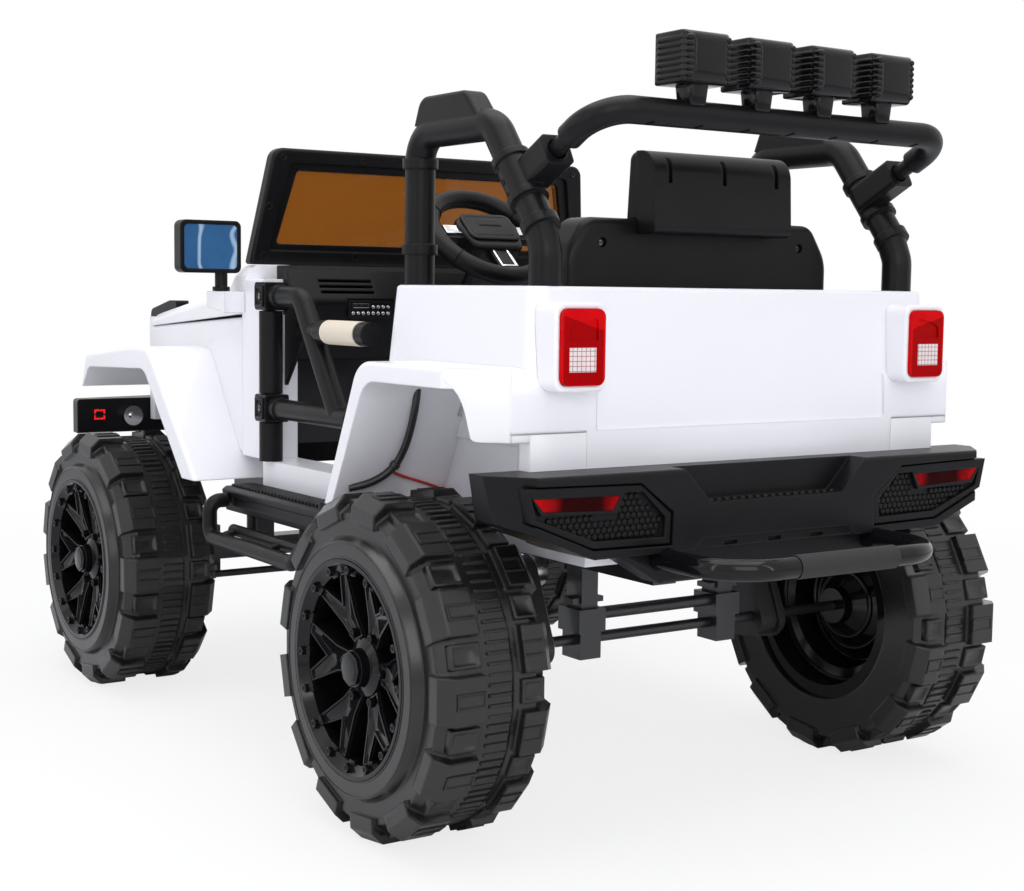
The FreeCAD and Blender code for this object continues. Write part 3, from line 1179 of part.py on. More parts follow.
def front_axle():
    """The front beam on two posts, with a fork and a kingpin at each end."""
    x = FRONT_AXLE
    beam = box(x - 18, x + 18, -KINGPIN_Y + 22, KINGPIN_Y - 22, AXLE_Z - 14, AXLE_Z + 14)
    posts = [box(x - 16, x + 16, s * FRAME_Y - FRAME_HALF, s * FRAME_Y + FRAME_HALF, AXLE_Z,
                 FRAME_LOW - SEAT_GAP)
             for s in (1, -1)]
    pins = [rod((x, s * KINGPIN_Y, AXLE_Z - 36), (x, s * KINGPIN_Y, AXLE_Z + 36), KINGPIN_RADIUS)
            for s in (1, -1)]
    return fused([beam, fork(), mirrored(fork())] + posts + pins)


def fork():
    x, y = FRONT_AXLE, KINGPIN_Y
    back = box(x - 16, x + 16, y - 36, y, AXLE_Z - 36, AXLE_Z + 36)
    gap = box(x - 30, x + 30, y - 26, y + 30, AXLE_Z - 26, AXLE_Z + 26)
    ends = [rod((x, y, AXLE_Z + z), (x, y, AXLE_Z + z + 10), 16) for z in (-36, 26)]
    return fused([back] + ends).cut(gap)


def knuckle():
    """The left steering knuckle: sleeve on the kingpin, stub axle and steering arm."""
    x, y, low = FRONT_AXLE, KINGPIN_Y, AXLE_Z - 22
    sleeve = rod((x, y, AXLE_Z - 25), (x, y, AXLE_Z + 25), 15)
    stub = rod((x, y, AXLE_Z), (x, WHEEL_PLANE + AXLE_END, AXLE_Z), AXLE_RADIUS)
    arm = box(x - ARM_LENGTH, x, y - 7, y + 7, low, low + 8)
    eye = rod((x - ARM_LENGTH, y, low), (x - ARM_LENGTH, y, low + 8), 9)
    pin = rod((x - ARM_LENGTH, y, TIE_ROD_Z - 8), (x - ARM_LENGTH, y, low + 8), ARM_PIN)
    bore = rod((x, y, AXLE_Z - 40), (x, y, AXLE_Z + 40), KINGPIN_RADIUS + BORE_GAP)
    return fused([sleeve, stub, arm, eye, pin]).cut(bore)


def tie_rod():
    """The rod between the knuckles, with the slotted plate that the steering crank moves."""
    x, z = FRONT_AXLE - ARM_LENGTH, TIE_ROD_Z
    bar = rod((x, -KINGPIN_Y, z), (x, KINGPIN_Y, z), TIE_ROD_RADIUS)
    eyes = [rod((x, s * KINGPIN_Y, z - 5), (x, s * KINGPIN_Y, z + 5), 9) for s in (1, -1)]
    bores = [rod((x, s * KINGPIN_Y, z - 9), (x, s * KINGPIN_Y, z + 9), ARM_PIN + BORE_GAP) for s in (1, -1)]
    plate = box(x - 2 * SLOT_BACK - 7, x + SLOT_BACK + 8, -15, 15, z - 3, z + 3)
    half = CRANK_PIN + SLOT_PLAY
    slot = box(x - 2 * SLOT_BACK, x + SLOT_BACK, -half, half, z - 12, z + 12)
    return fused([bar, plate] + eyes).cut(bores + [slot])


def shaft_line():
    """Length and direction of the steering shaft, so that its cranked foot stands in the tie rod's slot."""
    dx = FRONT_AXLE - ARM_LENGTH - SLOT_BACK - STEER_HUB_X
    dz = TIE_ROD_Z - STEER_HUB_Z
    length = math.sqrt(dx * dx + dz * dz - CRANK_RADIUS * CRANK_RADIUS)
    angle = math.atan2(dz, dx) + math.atan2(CRANK_RADIUS, length)
    return length, V(math.cos(angle), 0, math.sin(angle))


def shaft_point(t):
    d = shaft_line()[1]
    return STEER_HUB_X + d.x * t, 0, STEER_HUB_Z + d.z * t


def shaft_length():
    return shaft_line()[0] - 22


def on_wheel_plane(shape):
    """Puts a shape drawn about the origin, facing +Z, top towards +X, on the steering wheel's plane."""
    axis = shaft_line()[1]
    up = V(-axis.z, 0, axis.x)
    placed = shape.copy()
    placed.Placement = FreeCAD.Placement(V(STEER_HUB_X, 0, STEER_HUB_Z),
                                         FreeCAD.Rotation(up, V(0, 0, 0), -axis, "ZXY"))
    return placed


def steering_wheel():
    """Steering wheel with its padded hub and three spokes, the shaft to the front axle, and the crank."""
    axis = shaft_line()[1]
    hub = V(STEER_HUB_X, 0, STEER_HUB_Z)
    ring = Part.makeTorus(STEER_RIM_RADIUS, STEER_RIM_TUBE, V(0, 0, 0), V(0, 0, 1))
    wide, tall, thick = STEER_PAD_WIDE / 2, STEER_PAD_TALL / 2, STEER_PAD_THICK
    pad = plan_prism([(-tall, -wide + 16, 14), (tall - 6, -wide, 20), (tall - 6, wide, 20),
                      (-tall, wide - 16, 14)],
                     -thick / 2, thick / 2)
    pad = softened(pad, 6, lambda b: b.ZMin > thick / 2 - 0.1)
    reach, half = STEER_RIM_RADIUS, SPOKE_WIDE / 2
    low = -SPOKE_THICK / 2
    spokes = [box(-half, half, -reach, reach, low, -low), box(-reach, 0, -half * 1.4, half * 1.4, low, -low)]
    wheel = on_wheel_plane(fused([ring, pad] + spokes))
    shaft = Part.makeCylinder(SHAFT_RADIUS, shaft_length(), hub, axis)
    foot = V(*shaft_point(shaft_length() - CRANK_PIN))
    across = V(-axis.z, 0, axis.x)
    knee = foot - across * CRANK_RADIUS
    crank = Part.makeCylinder(CRANK_PIN, CRANK_RADIUS, foot, knee - foot)
    joint = Part.makeSphere(CRANK_PIN, knee)
    pin = Part.makeCylinder(CRANK_PIN, 22 + CRANK_PIN + 14, knee, axis)
    return fused([wheel, shaft, crank, joint, pin])


def bonnet_latches(cover):
    """The two strap latches that hook the bonnet down over the nose."""
    x, z = NOSE_X, NOSE_TOP
    strap = side_prism([(x - 74, z + 13), (x - 70, z + 39, 4), (x - 46, z + 39), (x + 26, z + 25, 10),
                        (x + 31, z + 4),
                        (x + 31, z - 22), (x, z - 22)], NOSE_HALF - 30, NOSE_HALF - 10)
    nose = box(x - 90, x, NOSE_HALF - 36, NOSE_HALF - 4, z - 102, z + 8)
    return both(strap.cut(cover + [nose]))


def main():
    os.makedirs("parts", exist_ok=True)
    wheels()
    tub = body_tub()
    save("body_tub", tub)
    save("front_body", front_body())
    nose_room = box(NOSE_X - 30, NOSE_X + 22, -NOSE_HALF, NOSE_HALF, NOSE_TOP - 102, NOSE_TOP + 14)
    save("bonnet", bonnet())
    save("grille", grille())
    save("bonnet_latches", bonnet_latches([bonnet_form(0), nose_room]))
    save("headlamps", headlamps())
    save("windscreen_frame", windscreen_frame())
    save("windscreen_pane", windscreen_pane())
    save("dashboard", dashboard())
    save("seat", seat())
    save("headrest", headrest())
    save("roll_hoops", Part.makeCompound([hoop(1), hoop(-1)]))
    save("light_bar", light_bar())
    save("roof_lamps", Part.makeCompound([lamp_shell(y) for y in lamp_places()]))
    save("roof_lamp_lenses", Part.makeCompound([lamp_lens(y) for y in lamp_places()]))
    tail_lamps(tub)
    rear_bumper_inserts(rear_bumper())
    save("tow_handle", tow_handle())
    save("tow_grip", tow_grip())
    save("front_bumper", front_bumper())
    save("fog_lamps", front_bumper_lamps())
    save("side_steps", both(side_step()))
    save("side_rails", both(side_rail()))
    save("door_posts", both(door_post()))
    head, bracket = mirror()
    save("mirrors", both(head))
    save("mirror_brackets", both(bracket))
    save("mirror_faces", both(mirror_face()))
    save("chassis", chassis())
    save("battery", battery())
    save("rear_axle", rear_axle())
    save("drive_units", both(drive_unit()))
    save("motor_leads_black", motor_lead(tub, 0))
    save("motor_leads_red", motor_lead(tub, 1))
    save("front_axle", front_axle())
    save("knuckle_left", knuckle())
    save("knuckle_right", mirrored(knuckle()))
    save("tie_rod", tie_rod())
    save("steering_wheel", steering_wheel())
    for side, name in ((1, "left"), (-1, "right")):
        save("door_" + name, door(side))
        save("armrest_" + name, armrest(side))


main()
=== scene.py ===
import bpy
import math
from mathutils import Matrix, Vector


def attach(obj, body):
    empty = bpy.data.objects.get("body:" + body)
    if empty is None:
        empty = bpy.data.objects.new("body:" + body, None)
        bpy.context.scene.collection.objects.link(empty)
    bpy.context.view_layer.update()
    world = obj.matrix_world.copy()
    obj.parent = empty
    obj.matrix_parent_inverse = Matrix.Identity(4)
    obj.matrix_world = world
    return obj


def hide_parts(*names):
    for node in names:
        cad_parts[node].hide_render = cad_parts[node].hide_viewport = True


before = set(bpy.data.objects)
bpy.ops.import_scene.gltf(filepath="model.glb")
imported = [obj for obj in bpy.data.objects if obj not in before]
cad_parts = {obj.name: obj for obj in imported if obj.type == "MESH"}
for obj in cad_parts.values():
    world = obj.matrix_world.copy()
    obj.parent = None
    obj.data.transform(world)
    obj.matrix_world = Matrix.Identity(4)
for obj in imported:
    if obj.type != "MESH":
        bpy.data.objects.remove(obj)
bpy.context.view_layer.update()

# Camera: the photograph looks forward along the car's left side from behind it, a little above
# the floor. Place and lens come from solving the picture's perspective on the car's own sizes.
EYE = Vector((-1.808, 1.1774, 0.5604))
YAW, PITCH, ROLL = -0.5936, -0.0927, 0.0123
LENS_MM, SENSOR_MM = 58.285, 36.0

bpy.ops.object.select_all(action="DESELECT")
ahead = Vector((math.cos(PITCH) * math.cos(YAW), math.cos(PITCH) * math.sin(YAW), math.sin(PITCH)))
level = Vector((math.sin(YAW), -math.cos(YAW), 0))
over = level.cross(ahead)
right = level * math.cos(ROLL) + over * math.sin(ROLL)
upward = over * math.cos(ROLL) - level * math.sin(ROLL)
bpy.ops.object.camera_add(location=EYE)
camera = bpy.context.active_object


def columns(first, second, third):
    """The matrix that turns the three axes to three directions."""
    return Matrix((first, second, third)).transposed().to_4x4()


camera.matrix_world = Matrix.Translation(EYE) @ columns(right, upward, -ahead)
camera.data.sensor_width = SENSOR_MM
camera.data.lens = LENS_MM
bpy.context.scene.camera = camera

# Studio: a white floor that fades into a white room, with large soft lamps above and beside the
# car. The floor keeps the car's shadow, and what the camera sees past it is plain white.
FLOOR_HALF = 9.0
FADE_FROM, FADE_TO, FADE_LEAST = 1.0, 2.4, 0.8
ROOM_STRENGTH = 0.57


class Value:
    """One output of a material node, so that pattern maths reads as plain arithmetic."""

    def __init__(self, finish, socket):
        self.finish = finish
        self.socket = socket

    def maths(self, operation, a, b):
        return self.finish.node("ShaderNodeMath", {"operation": operation}, {0: a, 1: b})

    def __add__(self, other):
        return self.maths("ADD", self, other)

    def __sub__(self, other):
        return self.maths("SUBTRACT", self, other)

    def __mul__(self, other):
        return self.maths("MULTIPLY", self, other)

    def __truediv__(self, other):
        return self.maths("DIVIDE", self, other)

    def size(self):
        return self.maths("ABSOLUTE", self, 0.0)

    def larger(self, other):
        return self.maths("MAXIMUM", self, other)

    def bands(self, pitch, share):
        """1 on a share of each pitch along the value, 0 between."""
        return self.maths("FRACT", self / pitch, 0.0) < share

    def __gt__(self, other):
        return self.maths("GREATER_THAN", self, other)

    def __lt__(self, other):
        return self.maths("LESS_THAN", self, other)


class Finish:
    """A material under construction: its tree, its shader and one way to add a node."""

    def __init__(self, name, **constants):
        self.material = bpy.data.materials.new(name)
        self.material.use_nodes = True
        self.tree = self.material.node_tree
        self.shader = self.tree.nodes["Principled BSDF"]
        for socket, value in constants.items():
            self.shader.inputs[socket.replace("_", " ")].default_value = value

    def node(self, kind, settings, sockets, output=0):
        added = self.tree.nodes.new(kind)
        for name, value in settings.items():
            setattr(added, name, value)
        for name, value in sockets.items():
            if isinstance(value, Value):
                self.tree.links.new(value.socket, added.inputs[name])
            else:
                added.inputs[name].default_value = value
        return Value(self, added.outputs[output])

    def place(self):
        return self.node("ShaderNodeTexCoord", {}, {}, "Object")

    def along(self, axis):
        return self.node("ShaderNodeSeparateXYZ", {}, {0: self.place()}, axis)

    def noise(self, scale, detail=4.0, roughness=0.5):
        return self.node("ShaderNodeTexNoise", {}, {"Vector": self.place(), "Scale": scale, "Detail": detail,
                                                    "Roughness": roughness})

    def mix(self, amount, first, second):
        return self.node("ShaderNodeMix", {"data_type": "RGBA"}, {0: amount, 6: first, 7: second}, 2)

    def tone(self, scale, first, second):
        """A colour that wanders between two tones; scale says how quickly."""
        return self.mix(self.noise(scale), (*first, 1), (*second, 1))

    def edges(self, radius):
        """The surface's direction with the moulding's small corner radius eased in."""
        return self.node("ShaderNodeBevel", {"samples": 4}, {"Radius": radius})

    def bump(self, height, strength, distance, edge=0.0):
        sockets = {"Height": height, "Strength": strength, "Distance": distance}
        if edge:
            sockets["Normal"] = self.edges(edge)
        return self.node("ShaderNodeBump", {}, sockets)

    def feed(self, **sockets):
        for name, value in sockets.items():
            self.tree.links.new(value.socket, self.shader.inputs[name.replace("_", " ")])
        return self.material


bpy.ops.mesh.primitive_plane_add(size=2 * FLOOR_HALF)
floor = bpy.context.active_object
floor.name = "studio_floor"
ground = Finish("studio_white", Roughness=0.9, Specular_IOR_Level=0.1)
seen = ground.node("ShaderNodeLightPath", {}, {}, "Is Camera Ray")
distance = ground.node("ShaderNodeVectorMath", {"operation": "LENGTH"}, {0: ground.place()}, "Value")
fade = ground.node("ShaderNodeMapRange", {}, {"Value": distance, "From Min": FADE_FROM, "From Max": FADE_TO,
                                              "To Min": FADE_LEAST})
white_light = ground.node("ShaderNodeEmission", {}, {"Color": (1, 1, 1, 1), "Strength": 1.0})
ground.shader.inputs["Base Color"].default_value = (0.95, 0.95, 0.955, 1)
lit_floor = Value(ground, ground.shader.outputs[0])
blend_to_white = ground.node("ShaderNodeMixShader", {}, {0: seen * fade, 1: lit_floor, 2: white_light})
surface = ground.tree.nodes["Material Output"].inputs["Surface"]
ground.tree.links.new(blend_to_white.socket, surface)
floor.data.materials.append(ground.material)

room = bpy.data.worlds.new("studio_room")
room.use_nodes = True
bpy.context.scene.world = room
room_light = room.node_tree.nodes["Background"]
room_path = room.node_tree.nodes.new("ShaderNodeLightPath")
room_white = room.node_tree.nodes.new("ShaderNodeBackground")
room_white.inputs["Color"].default_value = (1, 1, 1, 1)
room_light.inputs["Color"].default_value = (0.9, 0.93, 1.0, 1)
room_light.inputs["Strength"].default_value = ROOM_STRENGTH
room_pick = room.node_tree.nodes.new("ShaderNodeMixShader")
room_clear = room.node_tree.nodes.new("ShaderNodeMath")
room_clear.operation = "SUBTRACT"
room_clear.use_clamp = True
room_clear.inputs[0].default_value = 1.0
room_end = room.node_tree.nodes["World Output"]
for start, end in ((room_path.outputs["Is Diffuse Ray"], room_clear.inputs[1]),
                   (room_clear.outputs[0], room_pick.inputs[0]), (room_light.outputs[0], room_pick.inputs[1]),
                   (room_white.outputs[0], room_pick.inputs[2]),
                   (room_pick.outputs[0], room_end.inputs["Surface"])):
    room.node_tree.links.new(start, end)

# name, place, aim, width, length and power
LAMPS = (
    ("overhead", (-0.3, 0.2, 2.9), (0.0, 0.0, 0.2), 2.6, 2.6, 50),
    ("behind_left", (-2.9, 1.3, 1.7), (0.0, 0.1, 0.4), 1.8, 1.8, 22),
    ("left_side", (0.9, 3.0, 1.5), (0.3, 0.2, 0.35), 1.6, 1.6, 7),
    ("strip_left", (-0.9, 2.6, 1.2), (-0.2, 0.2, 0.4), 0.14, 2.4, 5.5),
    ("strip_behind", (-2.7, -0.5, 1.5), (-0.3, 0.0, 0.4), 0.14, 2.4, 5.5),
)
for name, spot, target, width, length, power in LAMPS:
    bpy.ops.object.light_add(type="AREA", location=spot)
    lamp = bpy.context.active_object
    lamp.name = "studio_" + name
    lamp.rotation_euler = (Vector(target) - Vector(spot)).to_track_quat("-Z", "Y").to_euler()
    lamp.data.shape = "RECTANGLE"
    lamp.data.size = width
    lamp.data.size_y = length
    lamp.data.energy = power
bpy.context.scene.view_settings.view_transform = "Standard"


def dress(names, material):
    for name in names:
        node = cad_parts[name]
        node.data.materials.clear()
        node.data.materials.append(material)


# White body: the tub, front body, bonnet, grille panel and lamp housings. They are blow and
# injection moulded in white plastic with a soft gloss, and are screwed to each other from inside.
# Painted shade: the footwell, the arch's inner wall and the hollow behind the grille's slots are black.
FOOTWELL_HALF, FOOTWELL_REAR, FOOTWELL_FLOOR, FOOTWELL_TOP = 0.2325, 0.02, 0.3075, 0.56
BONNET_REAR, ARCH_REAR, NOSE = 0.2, 0.36, 0.5785
SLOTS_HALF, SLOTS_MIDDLE, SLOTS_REACH = 0.12, 0.43, 0.07
# Black used as painted shade on the white body, and as the black plastic of the gearboxes.
SHADE_AND_PLASTIC_BLACK = (0.008, 0.008, 0.009, 1)
white = Finish("white_moulding", Roughness=0.3, Coat_Weight=0.25, Coat_Roughness=0.15)
white_tone = white.tone(3.0, (0.865, 0.86, 0.9), (0.93, 0.92, 0.96))
white_skin = white.bump(white.noise(160.0, 2.0), 0.04, 0.002, 0.003)
forward, outboard, high = white.along("X"), white.along("Y").size(), white.along("Z")
under_panels = high < (forward > BONNET_REAR) * -0.06 + (forward > ARCH_REAR) * -0.09 + FOOTWELL_TOP
# Painted shade: inside the footwell, under the bonnet and on the arch's inner wall the white moulding is
# coloured black.
inside_shade = (outboard < FOOTWELL_HALF) * (high > FOOTWELL_FLOOR) * under_panels
inside_shade = inside_shade * (forward > FOOTWELL_REAR) * (forward < NOSE - 0.001)
# Painted shade in the hollow behind the grille's slots.
slot_hollow_shade = ((forward - NOSE).size() < 0.0007) * (outboard < SLOTS_HALF)
slot_hollow_shade = slot_hollow_shade * ((high - SLOTS_MIDDLE).size() < SLOTS_REACH)
white_tone = white.mix(inside_shade.larger(slot_hollow_shade), white_tone, SHADE_AND_PLASTIC_BLACK)
white.feed(Base_Color=white_tone, Roughness=white.noise(14.0) * 0.12 + 0.24, Normal=white_skin)
dress(("body_tub", "front_body", "bonnet", "grille", "tail_lamp_housings", "mirror_brackets"), white.material)

# Black mouldings: bumpers, steps, screen frame, dashboard, seat and hoops. They are injection
# moulded plastic with a fine grained skin, held by screws in deep round wells.
black = Finish("black_moulding", Roughness=0.4, Specular_IOR_Level=0.16)
black_tone = black.tone(22.0, (0.004, 0.004, 0.0045), (0.008, 0.008, 0.009))
black_grain = black.bump(black.noise(900.0, 2.0), 0.12, 0.0006, 0.003)
black.feed(Base_Color=black_tone, Roughness=black.noise(30.0) * 0.14 + 0.28, Normal=black_grain)
dress(("windscreen_frame", "dashboard", "roll_hoops", "light_bar", "rear_bumper", "bumper_inserts",
       "front_bumper", "side_steps", "side_rails", "door_posts", "door_left", "door_right", "mirrors",
       "bonnet_latches", "seat", "headrest", "steering_wheel"), black.material)

# Gloss black: the roof lamp housings, rims and tow handle are injection moulded in black plastic
# with a polished mould face. Each rim is pushed on its axle and held under the hub's cap.
gloss = Finish("gloss_black", Roughness=0.1, Specular_IOR_Level=0.24)
gloss_tone = gloss.tone(18.0, (0.003, 0.003, 0.0035), (0.007, 0.007, 0.008))
gloss.feed(Base_Color=gloss_tone, Roughness=gloss.noise(40.0) * 0.1 + 0.06, Normal=gloss.edges(0.0012))
CORNERS = ("front_left", "front_right", "rear_left", "rear_right")
dress(["roof_lamps", "tow_handle"] + ["rim_" + corner for corner in CORNERS], gloss.material)

# Tyres: hard hollow tyres with blocky lugs, blow moulded in satin black plastic and snapped over
# their rims.
tyre = Finish("tyre_plastic", Roughness=0.3, Specular_IOR_Level=0.46)
tyre_tone = tyre.tone(12.0, (0.006, 0.0055, 0.0055), (0.014, 0.013, 0.012))
tyre_skin = tyre.bump(tyre.noise(500.0, 2.0), 0.1, 0.001, 0.004)
tyre.feed(Base_Color=tyre_tone, Roughness=tyre.noise(25.0) * 0.16 + 0.16, Normal=tyre_skin)
dress(["tyre_" + corner for corner in CORNERS], tyre.material)

# Tyre tread: between the broad lugs stand lower blocks with a pressed-in panel, each broad lug has
# a raised loop, and fine cross ribs fill the strip round the middle. All are moulded in the tyre.
WHEEL = Vector((-0.351, 0.326, 0.178))
WHEELBASE = 0.797
LUGS, RIBS = 13, 104
LOW_BLOCK, LOOP, RIB = (0.0125, 0.150, 0.1715), (0.008, 0.1755, 0.1779), (0.0017, 0.166, 0.1704)
PARTING_RADIUS, PARTING_INBOARD = 0.1692, 0.0232
AHEAD, LEFT, UP = Vector((1, 0, 0)), Vector((0, 1, 0)), Vector((0, 0, 1))


def add_block(low, high):
    """A box between two corners, its place in its mesh, with nothing else selected."""
    bpy.ops.object.select_all(action="DESELECT")
    bpy.ops.mesh.primitive_cube_add(size=1, location=[(a + b) / 2 for a, b in zip(low, high)])
    made = bpy.context.active_object
    made.scale = [b - a for a, b in zip(low, high)]
    bpy.ops.object.transform_apply(location=True, rotation=True, scale=True)
    return made


def pick(made, wanted):
    """Goes to edit mode with only the faces selected for which wanted(centre, normal) holds."""
    bpy.ops.object.mode_set(mode="EDIT")
    bpy.ops.mesh.select_mode(type="FACE")
    bpy.ops.mesh.select_all(action="DESELECT")
    bpy.ops.object.mode_set(mode="OBJECT")
    for face in made.data.polygons:
        face.select = wanted(face.center, face.normal)
    bpy.ops.object.mode_set(mode="EDIT")


def facing(way, least=0.9):
    """For pick: the faces that look along way, or nearly so."""
    return lambda centre, normal: normal.dot(way) > least


def step_in(*steps):
    """Insets the picked faces once for each thickness and depth, and leaves edit mode."""
    for thickness, depth in steps:
        bpy.ops.mesh.inset(thickness=thickness, depth=depth)
    bpy.ops.object.mode_set(mode="OBJECT")


def sink(thickness, depth):
    """Insets the picked faces and moves the inner ones in by depth, or out where it is negative."""
    step_in((thickness, 0), (min(thickness, abs(depth)) * 0.5, -depth))


def soften(made, width, segments=2):
    modifier = made.modifiers.new("soft_edges", "BEVEL")
    modifier.width = width
    modifier.segments = segments
    modifier.limit_method = "ANGLE"
    bpy.ops.object.modifier_apply(modifier=modifier.name)


def alone(made):
    """Makes one piece the active one and the only one selected."""
    bpy.ops.object.select_all(action="DESELECT")
    made.select_set(True)
    bpy.context.view_layer.objects.active = made


def face_outward():
    """Turns every face of the piece in edit mode outward, and leaves edit mode."""
    bpy.ops.mesh.select_all(action="SELECT")
    bpy.ops.mesh.normals_make_consistent(inside=False)
    bpy.ops.object.mode_set(mode="OBJECT")


def moved(made, matrix):
    made.matrix_world = matrix @ made.matrix_world
    bpy.ops.object.transform_apply(location=True, rotation=True, scale=True)


def repeat_round(made, count):
    """Copies the whole mesh round the wheel so that count of them are evenly spaced."""
    bpy.ops.object.mode_set(mode="EDIT")
    bpy.ops.mesh.select_all(action="SELECT")
    turn = math.tau * (count - 1) / count
    bpy.ops.mesh.spin(steps=count - 1, dupli=True, angle=turn, center=WHEEL, axis=LEFT)
    bpy.ops.object.mode_set(mode="OBJECT")


def joined(pieces):
    bpy.ops.object.select_all(action="DESELECT")
    for piece in pieces:
        piece.select_set(True)
    bpy.context.view_layer.objects.active = pieces[0]
    bpy.ops.object.join()
    return pieces[0]


def copied(made, shift=(0, 0, 0), mirror=False):
    """A copy with its own mesh, moved by shift or mirrored to the car's other side."""
    alone(made)
    bpy.ops.object.duplicate()
    other = bpy.context.active_object
    other.location = Vector(shift)
    if mirror:
        other.scale.y = -1
    bpy.ops.object.transform_apply(location=True, rotation=True, scale=True)
    bpy.ops.object.mode_set(mode="EDIT")
    face_outward()
    return other


def both_sides(made):
    """One mesh with the left piece and its mirror image on the car's right side."""
    return joined([made, copied(made, mirror=True)])


def mount(made, name, body, slot, material, smooth=35):
    """Names a finished piece, gives it its finish and lets it ride on its body."""
    alone(made)
    made.name = name
    bpy.ops.object.shade_smooth_by_angle(angle=math.radians(smooth))
    made.data.materials.clear()
    made.data.materials.append(material)
    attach(made, body)


def on_every_wheel(made, name, slot, material):
    """Mounts a piece made at the left rear wheel, and its copies at the three others."""
    ahead_by = (WHEELBASE, 0, 0)
    mount(copied(made, ahead_by), name + "_front_left", "wheel_front_left", slot, material)
    mount(copied(made, ahead_by, True), name + "_front_right", "wheel_front_right", slot, material)
    mount(copied(made, mirror=True), name + "_rear_right", "wheel_rear_right", slot, material)
    mount(made, name + "_rear_left", "wheel_rear_left", slot, material)


def round_wheel(made, degrees):
    turn = Matrix.Rotation(math.radians(degrees), 4, "Y")
    moved(made, Matrix.Translation(WHEEL) @ turn @ Matrix.Translation(-WHEEL))


def add_ring(centre, radius, thickness, around, across):
    """A round bead in the plane of a wheel, its place in its mesh."""
    bpy.ops.object.select_all(action="DESELECT")
    bpy.ops.mesh.primitive_torus_add(location=centre, rotation=(math.pi / 2, 0, 0), major_radius=radius,
                                     minor_radius=thickness, major_segments=around, minor_segments=across)
    bpy.ops.object.transform_apply(location=True, rotation=True, scale=True)
    return bpy.context.active_object


def tread_block(size, near, far):
    """A block at the tyre's lowest point: half its width and its foot and face from the axle, then
    its two ends along the axle."""
    half, foot, face = size
    return add_block((WHEEL.x - half, WHEEL.y + min(near, far), WHEEL.z - face),
                     (WHEEL.x + half, WHEEL.y + max(near, far), WHEEL.z - foot))


tread = []
for near, far, share in ((0.013, 0.047, -0.25), (-0.032, -0.058, 0.25)):
    low_block = tread_block(LOW_BLOCK, near, far)
    pick(low_block, facing(-UP, 0.5))
    sink(0.0034, 0.0028)
    soften(low_block, 0.0014)
    round_wheel(low_block, 360 / LUGS * share)
    repeat_round(low_block, LUGS)
    tread.append(low_block)
    loop = tread_block(LOOP, near, far * 0.96)
    pick(loop, facing(-UP, 0.5))
    sink(0.0016, 0.0012)
    round_wheel(loop, -360 / LUGS * share)
    repeat_round(loop, LUGS)
    tread.append(loop)
rib = tread_block(RIB, -0.0215, 0.0045)
pick(rib, facing(-UP, 0.5))
bpy.ops.mesh.inset(thickness=0.0008, depth=0.0)
bpy.ops.transform.resize(value=(1, 0.9, 1))
bpy.ops.object.mode_set(mode="OBJECT")
soften(rib, 0.0007, 1)
repeat_round(rib, RIBS)
tread += [rib, add_ring(WHEEL - LEFT * PARTING_INBOARD, PARTING_RADIUS, 0.0008, RIBS, 6)]
on_every_wheel(joined(tread), "tread", "tyre_plastic", tyre.material)

# Sidewall beads: two low beads that frame the flat ring where a real tyre has its lettering. They
# are part of the tyre's moulding.
SIDEWALL = WHEEL + LEFT * 0.0668
beads = [add_ring(SIDEWALL, radius, thickness, 96, 8)
         for radius, thickness in ((0.1285, 0.0011), (0.1136, 0.0012))]
on_every_wheel(joined(beads), "sidewall_beads", "tyre_plastic", tyre.material)

# Rim trim: sixteen clamp heads round the ring, six nuts between the spokes and the eight-sided cap
# on the hub. They are moulded with the rim in glossy black plastic.
RING_CLAMPS, SPOKES = 16, 6
CLAMP_RADIUS, NUT_RADIUS = 0.1015, 0.0375


def add_drum(start, direction, radius, length, sides):
    """A cylinder from a point along a direction, its place in its mesh."""
    bpy.ops.object.select_all(action="DESELECT")
    way = Vector(direction).normalized()
    bpy.ops.mesh.primitive_cylinder_add(vertices=sides, radius=radius, depth=length,
                                        location=Vector(start) + way * length / 2,
                                        rotation=way.to_track_quat("Z", "Y").to_euler())
    bpy.ops.object.transform_apply(location=True, rotation=True, scale=True)
    return bpy.context.active_object


clamp = add_drum(WHEEL + Vector((0, 0.055, CLAMP_RADIUS)), LEFT, 0.0048, 0.0125, 6)
pick(clamp, facing(LEFT))
sink(0.0016, 0.002)
claw = add_block(WHEEL + Vector((-0.0058, 0.052, 0.0945)), WHEEL + Vector((0.0058, 0.0605, 0.1)))
pick(claw, facing(LEFT))
sink(0.0012, -0.0016)
ring = joined([clamp, claw])
soften(ring, 0.0006)
repeat_round(ring, RING_CLAMPS)
nut = add_drum(WHEEL + Vector((0, 0.0415, NUT_RADIUS)), LEFT, 0.0052, 0.010, 6)
pick(nut, facing(LEFT))
sink(0.0014, 0.002)
soften(nut, 0.0006)
round_wheel(nut, 180 / SPOKES)
repeat_round(nut, SPOKES)
cap = add_drum(WHEEL + LEFT * 0.0586, LEFT, 0.0182, 0.0052, 8)
pick(cap, facing(LEFT))
sink(0.0022, -0.0014)
soften(cap, 0.0012, 3)
on_every_wheel(joined([ring, nut, cap]), "rim_trim", "rim_plastic", gloss.material)

